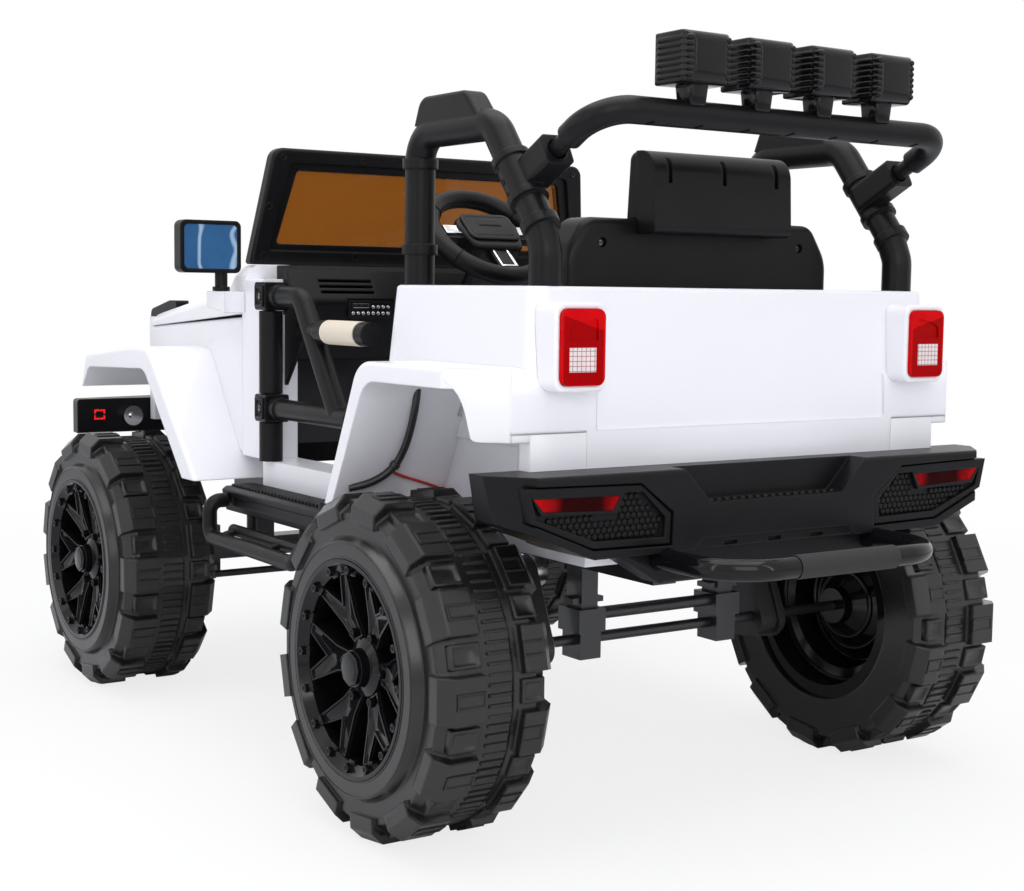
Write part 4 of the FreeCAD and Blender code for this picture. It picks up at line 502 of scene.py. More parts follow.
# Spoke borders: each spoke's face is a sunk panel inside a raised narrow border, which catches the
# light all round the spoke. It is part of the rim's moulding, so it starts from the rim's own face.
SPOKE_FACE = (0.366, 0.384)
BORDER_RISE, BORDER_WIDTH = 0.0028, 0.0021
WELD = 0.00002
alone(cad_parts["rim_rear_left"])
bpy.ops.object.duplicate()
border = bpy.context.active_object
bpy.ops.object.mode_set(mode="EDIT")
bpy.ops.mesh.select_all(action="SELECT")
bpy.ops.mesh.remove_doubles(threshold=WELD)
low, high = SPOKE_FACE
pick(border, lambda centre, normal: not (0.96 < normal.y < 0.995 and low < centre.y < high))
bpy.ops.mesh.delete(type="FACE")
bpy.ops.mesh.select_all(action="SELECT")
bpy.ops.mesh.dissolve_limited(angle_limit=math.radians(2))
bpy.ops.mesh.extrude_region_move(TRANSFORM_OT_translate={"value": (0, BORDER_RISE, 0)})
bpy.ops.mesh.inset(thickness=BORDER_WIDTH, depth=0.0)
bpy.ops.mesh.inset(thickness=0.0004, depth=-0.0022)
face_outward()
on_every_wheel(border, "spoke_borders", "rim_plastic", gloss.material)

# Inner steps: the wheel's inner side is a glossy stepped dish down to the axle. Its rounded steps are
# moulded with the rim.
INNER_STEPS = ((0.0925, 0.2945), (0.0835, 0.312), (0.0715, 0.327), (0.056, 0.319), (0.041, 0.3095))
steps = []
for radius, inward in INNER_STEPS:
    step_ring = add_ring((WHEEL.x, inward, WHEEL.z), radius, 0.0036, 72, 10)
    pick(step_ring, lambda centre, normal: centre.y < inward - 0.002)
    bpy.ops.transform.translate(value=(0, 0.0012, 0))
    bpy.ops.object.mode_set(mode="OBJECT")
    steps.append(step_ring)
on_every_wheel(joined(steps), "rim_inner_steps", "rim_plastic", gloss.material)

# Screen pane: a thin sheet of amber-brown clear plastic, cut flat. It is held in the groove between
# the screen frame's two halves.
amber = Finish("amber_pane", Roughness=0.06, Transmission_Weight=0.75, IOR=1.3)
amber.feed(Base_Color=amber.tone(2.5, (0.26, 0.084, 0.011), (0.33, 0.115, 0.019)))
dress(("windscreen_pane",), amber.material)

# Screws: pan-head screws with a cross recess, set in shallow round wells in the black mouldings.
# They hold the screen frame's two halves, the seat back, the hoop sleeves and the door clips.
WELL_RADIUS, SEAT_WELL, SLEEVE_WELL, CLIP_WELL = 0.0052, 0.0046, 0.0036, 0.0060
SCREEN_SCREWS = ((0.228, 0.727), (0.113, 0.728), (0.0, 0.728), (0.243, 0.665), (0.246, 0.602), (0.113, 0.603))
screw_metal = Finish("screw_metal", Metallic=1.0, Roughness=0.3)
screw_metal.feed(Base_Color=screw_metal.tone(200.0, (0.16, 0.16, 0.17), (0.34, 0.34, 0.35)))


def on_surface(node, start, way):
    """Where a line from start along way first meets a piece, and the surface's direction there."""
    found, spot, normal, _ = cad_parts[node].ray_cast(Vector(start), Vector(way).normalized())
    if not found:
        raise RuntimeError("nothing to fasten to on " + node)
    return spot, normal


def add_screw(spot, normal, radius=WELL_RADIUS):
    """The well's collar and, down inside it, the screw's head; both stand square to the surface."""
    collar = add_drum(spot - normal * 0.0015, normal, radius, 0.0022, 20)
    pick(collar, facing(normal))
    sink(radius * 0.24, 0.0014)
    head = add_drum(spot - normal * 0.0014, normal, radius * 0.62, 0.0014, 16)
    pick(head, facing(normal))
    sink(radius * 0.2, 0.0005)
    side = normal.orthogonal().normalized()
    across = normal.cross(side)
    # The cross recess is two thin crossed bars on the head's face, coloured black as painted shade.
    bars = []
    for way, other in ((side, across), (across, side)):
        bar = add_block((-0.5, -0.5, -0.5), (0.5, 0.5, 0.5))
        length, width = radius * 0.62, radius * 0.15
        turn = columns(way * length, other * width, normal * 0.0006)
        moved(bar, Matrix.Translation(spot - normal * 0.0005) @ turn)
        bars.append(bar)
    return collar, head, joined(bars)


def mount_screws(name, body, places):
    """Screws on one body: collars in the moulding's plastic, heads in metal, and black bars in their cross
    recesses as painted shade.
    """
    made = [add_screw(*place) for place in places]
    mount(joined([screw[0] for screw in made]), name + "_wells", body, "black_plastic", black.material)
    mount(joined([screw[1] for screw in made]), name + "_screws", body, "painted_steel", screw_metal.material)
    mount(joined([screw[2] for screw in made]), name + "_recess_shade", body, "black_plastic", black.material)


frame_screws = []
for across, height in SCREEN_SCREWS:
    for side in (1, -1):
        if across or side > 0:
            frame_screws.append(on_surface("windscreen_frame", (-0.05, side * across, height), AHEAD))
mount_screws("screen_frame", "car", frame_screws)
seat_screws = []
for side in (1, -1):
    spot, normal = on_surface("seat", (-0.6, side * 0.138, 0.612), AHEAD)
    seat_screws.append((spot + normal * 0.0035, normal, SEAT_WELL))
mount_screws("seat_back", "car", seat_screws)
sleeve_screws = []
leg = Vector((0.621, 0, 0.784))
for side in (1, -1):
    for step in (-0.017, 0, 0.017):
        aim = Vector((-0.4333, side * 0.244, 0.6706)) + leg * step
        outward = Vector((0.235, side * 0.95, -0.186))
        sleeve_screws.append(on_surface("roll_hoops", aim + outward * 0.06, -outward) + (SLEEVE_WELL,))
mount_screws("hoop_sleeve", "car", sleeve_screws)

# Rear bumper: its lamp inserts have a honeycomb of low six-sided studs beside the reflector, and
# a row of small domes gives the middle step its grip. All are moulded with their piece.
STUD_PITCH, STUD_ROWS, STUD_COLUMNS = 0.0072, 10, 26
STUD_FIRST = (0.145, 0.314)
INSERT = ((0.309, 0.371), (0.176, 0.368), (0.148, 0.3415), (0.149, 0.322), (0.234, 0.3145), (0.303, 0.3486))
REFLECTOR = ((0.309, 0.371), (0.199, 0.369), (0.209, 0.349), (0.297, 0.352))


def inside(y, z, corners, margin):
    """Whether a point lies inside a convex outline by at least a margin; the corners run one way."""
    depth = []
    for (y1, z1), (y2, z2) in zip(corners, corners[1:] + corners[:1]):
        length = math.hypot(y2 - y1, z2 - z1)
        depth.append(((y2 - y1) * (z - z1) - (z2 - z1) * (y - y1)) / length)
    return min(depth) > margin or max(depth) < -margin


def in_row(made, count, step):
    """Repeats the mesh count times, each one step further."""
    row = made.modifiers.new("row", "ARRAY")
    row.count = count
    row.use_relative_offset = False
    row.use_constant_offset = True
    row.constant_offset_displace = step
    bpy.context.view_layer.objects.active = made
    bpy.ops.object.modifier_apply(modifier=row.name)


stud_spots = []
for row in range(STUD_ROWS):
    for column in range(STUD_COLUMNS):
        y = STUD_FIRST[0] + (column + 0.5 * (row % 2)) * STUD_PITCH
        z = STUD_FIRST[1] + row * STUD_PITCH * 0.866
        if inside(y, z, INSERT, 0.0036) and not inside(y, z, REFLECTOR, -0.0045):
            stud_spots.append((y, z))
stud = add_drum((-0.5475, *stud_spots[0]), -AHEAD, 0.0034, 0.0024, 6)
pick(stud, facing(-AHEAD))
step_in((0.0011, 0.0004))
studs = [stud]
for y, z in stud_spots[1:]:
    studs.append(copied(stud, (0, y - stud_spots[0][0], z - stud_spots[0][1])))
mount(both_sides(joined(studs)), "insert_honeycomb", "car", "black_plastic", black.material, 20)

DOMES, DOME_PITCH = 17, 0.0105
dome_start = on_surface("rear_bumper", (-0.546, -0.084, 0.380), -UP)[0]
bpy.ops.object.select_all(action="DESELECT")
bpy.ops.mesh.primitive_uv_sphere_add(segments=14, ring_count=8, radius=0.0034, location=dome_start)
dome = bpy.context.active_object
dome.scale.z = 0.8
bpy.ops.object.transform_apply(location=True, rotation=True, scale=True)
pick(dome, lambda centre, normal: centre.z < dome_start.z - 0.001)
bpy.ops.mesh.delete(type="FACE")
bpy.ops.mesh.select_all(action="SELECT")
bpy.ops.mesh.region_to_loop()
bpy.ops.mesh.edge_face_add()
bpy.ops.object.mode_set(mode="OBJECT")
in_row(dome, DOMES, (0, DOME_PITCH, 0))
mount(dome, "step_grip_domes", "car", "black_plastic", black.material)

# Side steps: cross ribs on the tread board, so that a foot doesn't slip. They are moulded with the
# board in black plastic.
TREADS, TREAD_PITCH = 31, 0.009
tread_start = on_surface("side_steps", (-0.18, 0.300, 0.345), -UP)[0]
tread_rib = add_block((-0.1825, 0.2865, tread_start.z - 0.001), (-0.1775, 0.3165, tread_start.z + 0.0028))
pick(tread_rib, facing(UP))
step_in((0.0009, 0.0003))
in_row(tread_rib, TREADS, (TREAD_PITCH, 0, 0))
mount(both_sides(tread_rib), "step_treads", "car", "black_plastic", black.material, 20)

# Steering wheel trim: a raised pad cover, a bright U on the lower spoke, bright strips on the side
# spokes and thin seams where the ring's grip sections meet. The trim snaps into the moulded wheel.
HUB = Vector((0, 0, 0.63))
PAD_FACE, GRIP_RADIUS, GRIP_HALF = 0.0122, 0.078, 0.0124
SEAM_DEGREES = (35, 145, 215, 325)
toward_driver = Vector((-0.649, 0, 0.761))
wheel_top = Vector((0.761, 0, 0.649))
wheel_place = Matrix.Translation(HUB) @ columns(LEFT, wheel_top, toward_driver)


def round_edges(made, wanted, radius, segments):
    """Rounds only the edges for which wanted(start, end) holds."""
    bpy.ops.object.mode_set(mode="EDIT")
    bpy.ops.mesh.select_mode(type="EDGE")
    bpy.ops.mesh.select_all(action="DESELECT")
    bpy.ops.object.mode_set(mode="OBJECT")
    for edge in made.data.edges:
        edge.select = wanted(*(made.data.vertices[v].co for v in edge.vertices))
    bpy.ops.object.mode_set(mode="EDIT")
    bpy.ops.mesh.bevel(offset=radius, segments=segments, affect="EDGES")
    bpy.ops.object.mode_set(mode="OBJECT")


pad_cover = add_block((-0.038, -0.022, PAD_FACE - 0.001), (0.038, 0.028, PAD_FACE + 0.0026))
round_edges(pad_cover, lambda start, end: abs(start.z - end.z) > 0.001, 0.011, 5)
pick(pad_cover, facing(UP))
step_in((0.006, 0.0006), (0.0007, -0.0008), (0.0007, 0.0008))
soften(pad_cover, 0.0016, 3)
badge = add_block((-0.017, 0.004, PAD_FACE + 0.001), (0.017, 0.016, PAD_FACE + 0.0042))
pick(badge, facing(UP))
step_in((0.0015, 0.0))
soften(badge, 0.0008)
seams = []
for degrees in SEAM_DEGREES:
    seam = add_ring((0, 0, 0), GRIP_HALF, 0.0007, 28, 6)
    turn = Matrix.Rotation(math.radians(degrees), 4, "Z")
    moved(seam, turn @ Matrix.Translation(AHEAD * GRIP_RADIUS))
    seams.append(seam)
wheel_trim = joined([pad_cover, badge] + seams)
moved(wheel_trim, wheel_place)
mount(wheel_trim, "steering_pad_cover", "steering", "black_plastic", black.material)
chrome = Finish("bright_trim", Metallic=1.0, Roughness=0.14)
chrome.feed(Base_Color=chrome.tone(30.0, (0.72, 0.72, 0.73), (0.86, 0.86, 0.87)))
spoke_trim = add_block((-0.0125, -0.066, 0.0045), (0.0125, -0.030, 0.0075))
pick(spoke_trim, facing(UP))
sink(0.0028, 0.0016)
soften(spoke_trim, 0.0006)
moved(spoke_trim, wheel_place)
arms = []
for side in (1, -1):
    ends = sorted((side * 0.040, side * 0.066))
    arm = add_block((ends[0], -0.004, 0.004), (ends[1], 0.0115, 0.0085))
    pick(arm, facing(UP))
    sink(0.0022, 0.001)
    soften(arm, 0.0008)
    moved(arm, wheel_place)
    arms.append(arm)
mount(joined([spoke_trim] + arms), "steering_spoke_trim", "steering", "bright_trim", chrome.material)
spoke_fill = add_block((-0.0092, -0.0625, 0.004), (0.0092, -0.0245, 0.0066))
pick(spoke_fill, facing(UP))
step_in((0.0008, 0.0002))
moved(spoke_fill, wheel_place)
mount(spoke_fill, "steering_spoke_fill", "steering", "black_plastic", black.material)

# Sound panel: a bezel with a display and two rows of round keys, on the left of the dashboard. It is
# a moulded unit that is pressed into the dashboard's recess.
PANEL_Y, PANEL_Z = 0.145, 0.535
KEY_COLUMNS, KEY_ROWS, KEY_PITCH, KEY_LIFT = 8, 2, 0.0072, 0.008
panel_spot, panel_out = on_surface("dashboard", (-0.15, PANEL_Y, PANEL_Z), AHEAD)
panel_up = (UP - panel_out * panel_out.z).normalized()
panel_place = Matrix.Translation(panel_spot) @ columns(panel_up.cross(panel_out), panel_up, panel_out)
bezel = add_block((-0.032, -0.0115, 0.0002), (0.032, 0.0115, 0.0022))
pick(bezel, facing(UP))
sink(0.0012, 0.0009)
soften(bezel, 0.0005)
display = add_block((-0.026, 0.0015, 0.001), (-0.002, 0.0085, 0.0021))
pick(display, facing(UP))
sink(0.0008, 0.0005)
keys = []
for column in range(KEY_COLUMNS):
    for line in range(KEY_ROWS):
        if line == 0 or column > 3:
            across = -0.0255 + column * KEY_PITCH
            key = add_drum((across, -0.0045 + line * KEY_LIFT, 0.001), UP, 0.0021, 0.0017, 14)
            pick(key, facing(UP))
            step_in((0.0005, 0.0003))
            keys.append(key)
keys = joined(keys)
for made, name, finish in ((bezel, "sound_panel_bezel", black), (display, "sound_panel_display", chrome),
                           (keys, "sound_panel_keys", chrome)):
    moved(made, panel_place)
    mount(made, name, "car", "black_plastic" if finish is black else "bright_trim", finish.material)

# Lamp lenses and reflectors: clear red and colourless plastic mouldings with a pattern of flutes or
# squares inside. Each clips into its housing or insert.
RED_PANE_Y, RED_PANE_HALF, RED_PANE_FOOT = 0.237, 0.0235, 0.472
REFLECTOR_Y = 0.249
red = Finish("red_lens", Roughness=0.12, Specular_IOR_Level=0.04)
across, height = red.along("Y").size(), red.along("Z")
pane = (height < across * 0.3 + 0.46) * (height > RED_PANE_FOOT)
pane = pane * ((across - RED_PANE_Y).size() < RED_PANE_HALF)
flute = across.bands(0.0026, 0.5) * 0.5 + 0.25
red_rim = red.tone(40.0, (0.5, 0.001, 0.003), (0.72, 0.004, 0.006))
red_pane = red.mix(flute, (0.26, 0.0, 0.001, 1), (0.46, 0.001, 0.002, 1))
red.feed(Base_Color=red.mix(pane, red_rim, red_pane))
dress(("tail_lamp_lenses",), red.material)
deep = Finish("deep_reflector", Roughness=0.12, Specular_IOR_Level=0.05)
from_middle = (deep.along("Y").size() - REFLECTOR_Y).size() * 34.0
# The red reflector is painted nearly black in the middle as painted shade, with a painted glint of bright red
# towards each end.
reflector_shade_tone = deep.tone(46.0, (0.006, 0.0, 0.0), (0.035, 0.0, 0.0005))
painted_glint = (from_middle - 0.75) * 1.5 * deep.noise(60.0)
deep.feed(Base_Color=deep.mix(painted_glint, reflector_shade_tone, (0.62, 0.004, 0.006, 1)))
dress(("bumper_reflectors",), deep.material)
clear = Finish("clear_lens", Roughness=0.15, Coat_Weight=0.6, Coat_Roughness=0.03)
clear.feed(Base_Color=clear.tone(80.0, (0.5, 0.5, 0.52), (0.85, 0.84, 0.85)))
dress(("roof_lamp_lenses", "headlamps"), clear.material)
window = Finish("reversing_window", Roughness=0.2, Specular_IOR_Level=0.3)
grid = window.along("Y").bands(0.0052, 0.16).larger(window.along("Z").bands(0.0048, 0.16))
window_tone = window.tone(90.0, (0.72, 0.6, 0.6), (0.85, 0.77, 0.77))
window.feed(Base_Color=window.mix(grid, window_tone, (0.42, 0.2, 0.2, 1)))
dress(("reverse_lenses",), window.material)

# Mirror faces: blue reflective foil under a clear film, with a painted reflection of pale curved
# streaks over the blue. Each is a flat sticker in the recess of its moulded head.
foil = Finish("mirror_foil", Roughness=0.3, Specular_IOR_Level=0.2)
# Painted reflection: pale blue-white streaks drawn from a wave pattern over the foil's blue.
reflection_streaks = foil.node("ShaderNodeTexWave", {"bands_direction": "Y"}, {"Vector": foil.place(), "Scale": 7.0,
                  "Distortion": 5.0, "Detail": 1.0, "Detail Scale": 3.0, "Phase Offset": 1.2}, 1)
foil_blue = foil.tone(16.0, (0.018, 0.075, 0.2), (0.05, 0.17, 0.36))
foil.feed(Base_Color=foil.mix((reflection_streaks - 0.86) * 5.0, foil_blue, (0.5, 0.68, 0.86, 1)))
dress(("mirror_faces",), foil.material)

# Fog lamps: short cans of bright plated metal, pressed into round holes in the front bumper's rear
# face.
bright = Finish("bright_metal", Metallic=1.0, Roughness=0.12)
bright.feed(Base_Color=bright.tone(20.0, (0.65, 0.65, 0.66), (0.85, 0.85, 0.86)))
dress(("fog_lamps",), bright.material)

# Running gear: frame, axles, knuckles and tie rod are steel tube, rod and plate, welded and painted
# black. The battery is a black box between the frame rails.
steel = Finish("black_paint", Roughness=0.35, Coat_Weight=0.2)
steel.feed(Base_Color=steel.tone(30.0, (0.01, 0.01, 0.011), (0.02, 0.02, 0.022)))
dress(("chassis", "rear_axle", "front_axle", "knuckle_left", "knuckle_right", "tie_rod", "battery"),
      steel.material)

# Gearboxes: on the left unit the half towards the wheel is natural beige plastic, the ribbed half
# towards the middle is black and the small motor is a plated steel can. The right unit is painted
# all black as painted shade under the car.
CASE_SPLIT, CAN_END = 0.1765, 0.1503
gearbox = Finish("gearbox_plastic")
outward = gearbox.along("Y").size()
left_unit = gearbox.along("Y") > 0.0
case_tone = gearbox.tone(30.0, (0.55, 0.45, 0.3), (0.68, 0.58, 0.42))
# The black is real plastic on the left unit's inner half and painted shade on the whole right unit.
inner_tone = gearbox.mix((outward > CASE_SPLIT) * left_unit, SHADE_AND_PLASTIC_BLACK, case_tone)
can = (outward < CAN_END) * left_unit
gearbox.feed(Base_Color=gearbox.mix(can, inner_tone, (0.62, 0.62, 0.6, 1)), Metallic=can,
             Roughness=can * -0.25 + 0.45)
dress(("drive_units",), gearbox.material)

# Armrests: beige sleeves on the doors' upper tubes, moulded in a softer plastic and pushed over the
# tube's end.
beige = Finish("beige_sleeve", Roughness=0.5)
beige.feed(Base_Color=beige.tone(30.0, (0.71, 0.62, 0.5), (0.79, 0.7, 0.58)))
dress(("armrest_left", "armrest_right"), beige.material)

# Tow grip: a black foam sleeve with a coarse open skin. It is pushed over the tow handle's cross
# bar.
foam = Finish("grip_foam", Roughness=0.85)
foam_tone = foam.tone(700.0, (0.01, 0.01, 0.01), (0.03, 0.03, 0.03))
foam.feed(Base_Color=foam_tone, Normal=foam.bump(foam.noise(900.0), 0.4, 0.001))
dress(("tow_grip",), foam.material)

# Motor leads: red and black plastic sleeves over copper strands. They run from the motor's tabs up
# into the tub's inner wall.
sleeve_black = Finish("sleeve_black", Roughness=0.4)
sleeve_black.feed(Base_Color=sleeve_black.tone(60.0, (0.01, 0.01, 0.01), (0.03, 0.03, 0.03)))
sleeve_red = Finish("sleeve_red", Roughness=0.35)
sleeve_red.feed(Base_Color=sleeve_red.tone(60.0, (0.42, 0.01, 0.012), (0.6, 0.02, 0.02)))
dress(("motor_leads_black",), sleeve_black.material)
dress(("motor_leads_red",), sleeve_red.material)

# Arch harness: a black sleeve clipped against the rear arch's front wall, and below its tie the
# single red wire that runs on to the tub's inner wall. Both ends of the sleeve go through the wall.
SLEEVE_ROUTE = ((-0.300, 0.281, 0.4600), (-0.2976, 0.2815, 0.4410), (-0.2885, 0.2800, 0.4225),
                (-0.2800, 0.2795, 0.4057), (-0.2725, 0.2810, 0.3900), (-0.2650, 0.2850, 0.3750),
                (-0.2595, 0.2935, 0.3640), (-0.2555, 0.3060, 0.3560), (-0.2520, 0.3200, 0.3510),
                (-0.2460, 0.3340, 0.3480))
WIRE_ROUTE = ((-0.2610, 0.2905, 0.3660), (-0.2575, 0.2800, 0.3610), (-0.2535, 0.2640, 0.3560),
              (-0.2495, 0.2440, 0.3500), (-0.2460, 0.2260, 0.3440), (-0.2415, 0.2160, 0.3405))


def laid_tube(route, radius):
    """A round tube along a smooth curve through a route, made a closed mesh."""
    bpy.ops.object.select_all(action="DESELECT")
    bpy.ops.curve.primitive_nurbs_path_add()
    line = bpy.context.active_object
    line.data.splines.clear()
    spline = line.data.splines.new("NURBS")
    spline.points.add(len(route) - 1)
    for point, place in zip(spline.points, route):
        point.co = (*place, 1)
    spline.order_u = 3
    spline.use_endpoint_u = True
    spline.resolution_u = 8
    line.data.dimensions = "3D"
    line.data.bevel_depth = radius
    line.data.bevel_resolution = 4
    line.data.use_fill_caps = True
    bpy.ops.object.convert(target="MESH")
    tube = bpy.context.active_object
    bpy.ops.object.mode_set(mode="EDIT")
    bpy.ops.mesh.select_all(action="SELECT")
    bpy.ops.mesh.remove_doubles(threshold=WELD)
    face_outward()
    return tube


harness = laid_tube(SLEEVE_ROUTE, 0.0042)
tie = add_drum((-0.2648, 0.2862, 0.3745), (0.35, 0.45, -0.82), 0.0056, 0.005, 18)
pick(tie, lambda centre, normal: abs(normal.z) > 0.7)
step_in((0.0008, 0.0006))
harness = joined([harness, tie])
mount(both_sides(harness), "arch_harness", "car", "wire_black", sleeve_black.material)
wire = laid_tube(WIRE_ROUTE, 0.0017)
mount(both_sides(wire), "arch_wire", "car", "wire_red", sleeve_red.material)

# Tub corners: below the cheeks the tub's rear wall goes on down behind the bumper, to just inside
# each cheek, as a short return of the same moulding.
TUB_REAR, RETURN_INNER, RETURN_OUTER = -0.5076, 0.198, 0.279
return_panel = add_block((TUB_REAR, RETURN_INNER, 0.345), (-0.486, RETURN_OUTER, 0.4285))
pick(return_panel, facing(AHEAD))
step_in((0.005, -0.012))
soften(return_panel, 0.0006)
mount(both_sides(return_panel), "tub_returns", "car", "white_plastic", white.material)

# Cheek corners: behind the wheel the cheek comes down in a tight curve to a level lower edge. This
# is the cheek's own skin round its slanted corner, so the piece lies flush on that face. Inside it a
# flat liner closes the arch towards the tub.
CHEEK_FOOT, CHEEK_SLOPE = (-0.4607, 0.34665), 0.958
CORNER_OUTLINE = ((-0.4592, 0.4722), (-0.4658, 0.4679), (-0.4701, 0.4604), (-0.4730, 0.4519),
                  (-0.4752, 0.4424), (-0.4775, 0.4282), (-0.4790, 0.4195), (-0.4812, 0.4168),
                  (-0.4860, 0.4161), (TUB_REAR, 0.4160), (TUB_REAR, 0.4866), (-0.4592, 0.4866))
bpy.ops.object.select_all(action="DESELECT")
bpy.ops.mesh.primitive_circle_add(vertices=len(CORNER_OUTLINE), radius=0.02, fill_type="NGON")
corner = bpy.context.active_object
for vertex, (x, z) in zip(corner.data.vertices, CORNER_OUTLINE):
    vertex.co = (x, CHEEK_FOOT[1] + CHEEK_SLOPE * (x - CHEEK_FOOT[0]), z)
bpy.ops.object.mode_set(mode="EDIT")
bpy.ops.mesh.select_all(action="SELECT")
bpy.ops.mesh.extrude_region_move(TRANSFORM_OT_translate={"value": (0.0048, -0.0050, 0)})
face_outward()
soften(corner, 0.0012)
lip = add_block((TUB_REAR, 0.2785, 0.4160), (-0.4960, 0.3005, 0.4290))
pick(lip, facing(AHEAD))
step_in((0.002, -0.003))
soften(lip, 0.0012)
corner = joined([corner, lip])
mount(both_sides(corner), "cheek_corners", "car", "white_plastic", white.material)
liner = add_block((-0.485, 0.2125, 0.400), (-0.268, 0.2165, 0.4650))
pick(liner, facing(LEFT))
step_in((0.006, -0.001))
soften(liner, 0.0008)
mount(both_sides(liner), "arch_liners", "car", "white_plastic", white.material)

# Roof lamps: square housings with well rounded corners, each on a tapered foot that clips over the
# bar, and a clear lens in front. The housings are one glossy moulding each.
LAMP_SPOTS = (0.126, 0.042, -0.042, -0.126)


def on_every_lamp(made):
    """One mesh with the leftmost lamp's piece and its copies on the three others."""
    return joined([made] + [copied(made, (0, spot - LAMP_SPOTS[0], 0)) for spot in LAMP_SPOTS[1:]])


housing = add_block((-0.5815, 0.0975, 0.7600), (-0.5300, 0.1545, 0.8100))
round_edges(housing, lambda start, end: max(start.x, end.x) < -0.57, 0.0125, 6)
pick(housing, facing(AHEAD))
step_in((0.004, 0.0), (0.0006, -0.005))
soften(housing, 0.0045, 4)
foot = add_block((-0.5660, 0.1140, 0.7400), (-0.5400, 0.1380, 0.7640))
pick(foot, facing(-UP))
bpy.ops.transform.resize(value=(0.86, 0.84, 1))
bpy.ops.object.mode_set(mode="OBJECT")
soften(foot, 0.003, 3)
neck = add_drum((-0.553, LAMP_SPOTS[0], 0.7330), UP, 0.0088, 0.0300, 24)
pick(neck, lambda centre, normal: abs(normal.z) > 0.9)
step_in((0.001, 0.0005))
lamp_bodies = on_every_lamp(joined([housing, foot, neck]))
glass = add_block((-0.5352, 0.1005, 0.7630), (-0.5318, 0.1515, 0.8070))
pick(glass, facing(AHEAD))
step_in((0.004, 0.0008))
soften(glass, 0.0006)
lamp_lenses = on_every_lamp(glass)
mount(lamp_bodies, "roof_lamp_housings", "car", "gloss_black", gloss.material, 50)
mount(lamp_lenses, "roof_lamp_glasses", "car", "clear_lens", clear.material)
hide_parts("roof_lamps")
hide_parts("roof_lamp_lenses")

# Roof lamp flutes: straight glossy ridges along the sides of each lamp housing, which turn in round
# its rear corners. They are part of the housing's moulding.
FLUTES, FLUTE_RADIUS, FLUTE_PITCH, FLUTE_LOWEST = 7, 0.0034, 0.0058, 0.7675
flutes = []
for side in (1, -1):
    face = LAMP_SPOTS[0] + side * 0.0275
    for step in range(FLUTES):
        height = FLUTE_LOWEST + step * FLUTE_PITCH
        along_side = ((-0.5700, face - side * 0.0012, height), (1, side * 0.02, 0), 0.034)
        round_corner = ((-0.5685, face - side * 0.0015, height), (-0.9, -side * 0.27, 0), 0.0115)
        for start, way, length in (along_side, round_corner):
            flute = add_drum(start, way, FLUTE_RADIUS, length, 12)
            pick(flute, lambda centre, out: abs(out.dot(Vector(way).normalized())) > 0.9)
            step_in((0.0014, 0.0024))
            soften(flute, 0.001)
            flutes.append(flute)
mount(on_every_lamp(joined(flutes)), "roof_lamp_flutes", "car", "gloss_black", gloss.material, 50)

# Light bar drains: short slanted slots along the underside of the bar, moulded through its wall.
# Only the shade in their hollow shows, so each is a thin black plate in the bar's skin: painted shade.
DRAINS = (-0.18, -0.12, -0.06, 0.0, 0.06, 0.12, 0.18)
void = Finish("recess_shade", Roughness=0.9, Specular_IOR_Level=0.05)
void.feed(Base_Color=void.tone(50.0, (0.001, 0.001, 0.001), (0.002, 0.002, 0.002)))
drains = []
for across in DRAINS:
    spot, normal = on_surface("light_bar", (-0.575, across, 0.690), (0.024, 0, 0.043))
    drain = add_block((-0.0045, -0.0012, -0.0006), (0.0045, 0.0012, 0.0002))
    pick(drain, facing(UP))
    step_in((0.0004, 0.0))
    along = (LEFT * 0.86 + normal.cross(LEFT) * 0.5).normalized()
    moved(drain, Matrix.Translation(spot) @ columns(along, normal.cross(along), normal))
    drains.append(drain)
mount(joined(drains), "light_bar_drains", "car", "black_plastic", void.material)

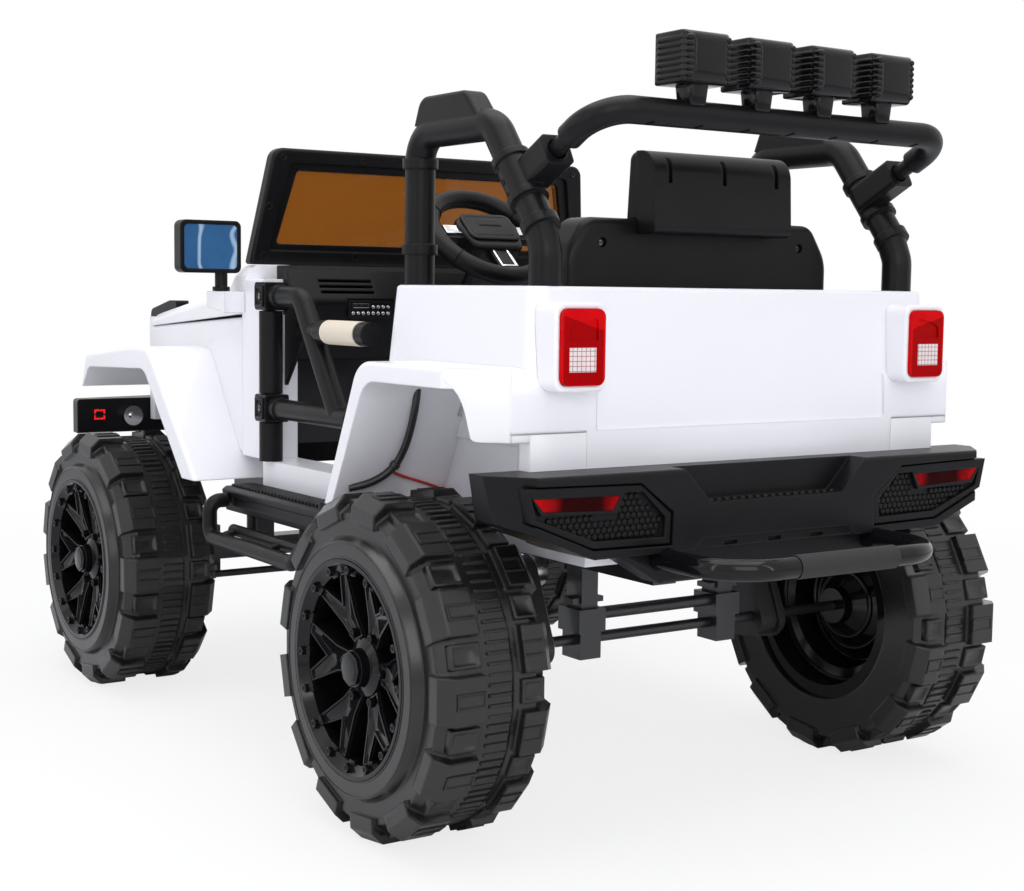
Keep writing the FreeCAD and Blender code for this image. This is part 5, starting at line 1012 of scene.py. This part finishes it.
# Motor boots: each motor lead ends in a crimped tab on the motor can's end, covered by a short soft
# sleeve of red or black plastic that is pushed over it.
for across, finish, name in ((0.1340, sleeve_black, "black"), (0.1420, sleeve_red, "red")):
    boot = add_drum((-0.2865, across, 0.252), AHEAD, 0.0036, 0.009, 14)
    pick(boot, facing(AHEAD))
    step_in((0.0008, 0.0012))
    soften(boot, 0.0005)
    mount(both_sides(boot), "motor_boots_" + name, "car", "wire_" + name, finish.material)

# Door clips: square sockets that hold the tube doors' ends to the posts, each with a raised frame
# and one screw on its outer face. They are moulded halves, closed by that screw.
CLIP_HEIGHTS = (0.551, 0.414)
for side, body in ((1, "door_left"), (-1, "door_right")):
    clip_screws, clip_frames = [], []
    for height in CLIP_HEIGHTS:
        spot, normal = on_surface(body, (0.0475, side * 0.36, height), (0, -side, 0))
        clip = add_block((0.0370, 0.2980, height - 0.0130), (0.0590, 0.3012, height + 0.0130))
        pick(clip, facing(LEFT))
        sink(0.003, 0.0024)
        soften(clip, 0.0007)
        if side < 0:
            mirrored = copied(clip, mirror=True)
            bpy.data.objects.remove(clip)
            clip = mirrored
        clip_frames.append(clip)
        clip_screws.append((spot + normal * 0.0012, normal, CLIP_WELL))
    mount(joined(clip_frames), body + "_clip_frames", body, "black_plastic", black.material)
    mount_screws(body + "_clip", body, clip_screws)

# Front markers: four red corner bars round a dark centre, in the bumper's rear face outside each fog
# lamp can. They are clear red plastic, lit from inside the bumper.
lit_red = Finish("marker_red", Roughness=0.25, Emission_Strength=0.35)
marker_tone = lit_red.tone(60.0, (0.8, 0.004, 0.004), (0.95, 0.02, 0.012))
lit_red.feed(Base_Color=marker_tone, Emission_Color=marker_tone)
marker_spot = on_surface("front_bumper", (0.40, 0.300, 0.368), AHEAD)[0]
MARKER_BARS = ((0.0040, 0.0013, 0.0044, 0.0062), (0.0012, 0.0028, 0.0072, 0.0040))
bars = []
for side in (1, -1):
    for lift in (1, -1):
        for half, half_height, out, up in MARKER_BARS:
            bar = add_block((-0.0016, -half, -half_height), (0.0004, half, half_height))
            moved(bar, Matrix.Translation(marker_spot + Vector((0, side * out, lift * up))))
            bars.append(bar)
marker = joined(bars)
soften(marker, 0.0003, 1)
mount(both_sides(marker), "front_markers", "car", "red_lens", lit_red.material)
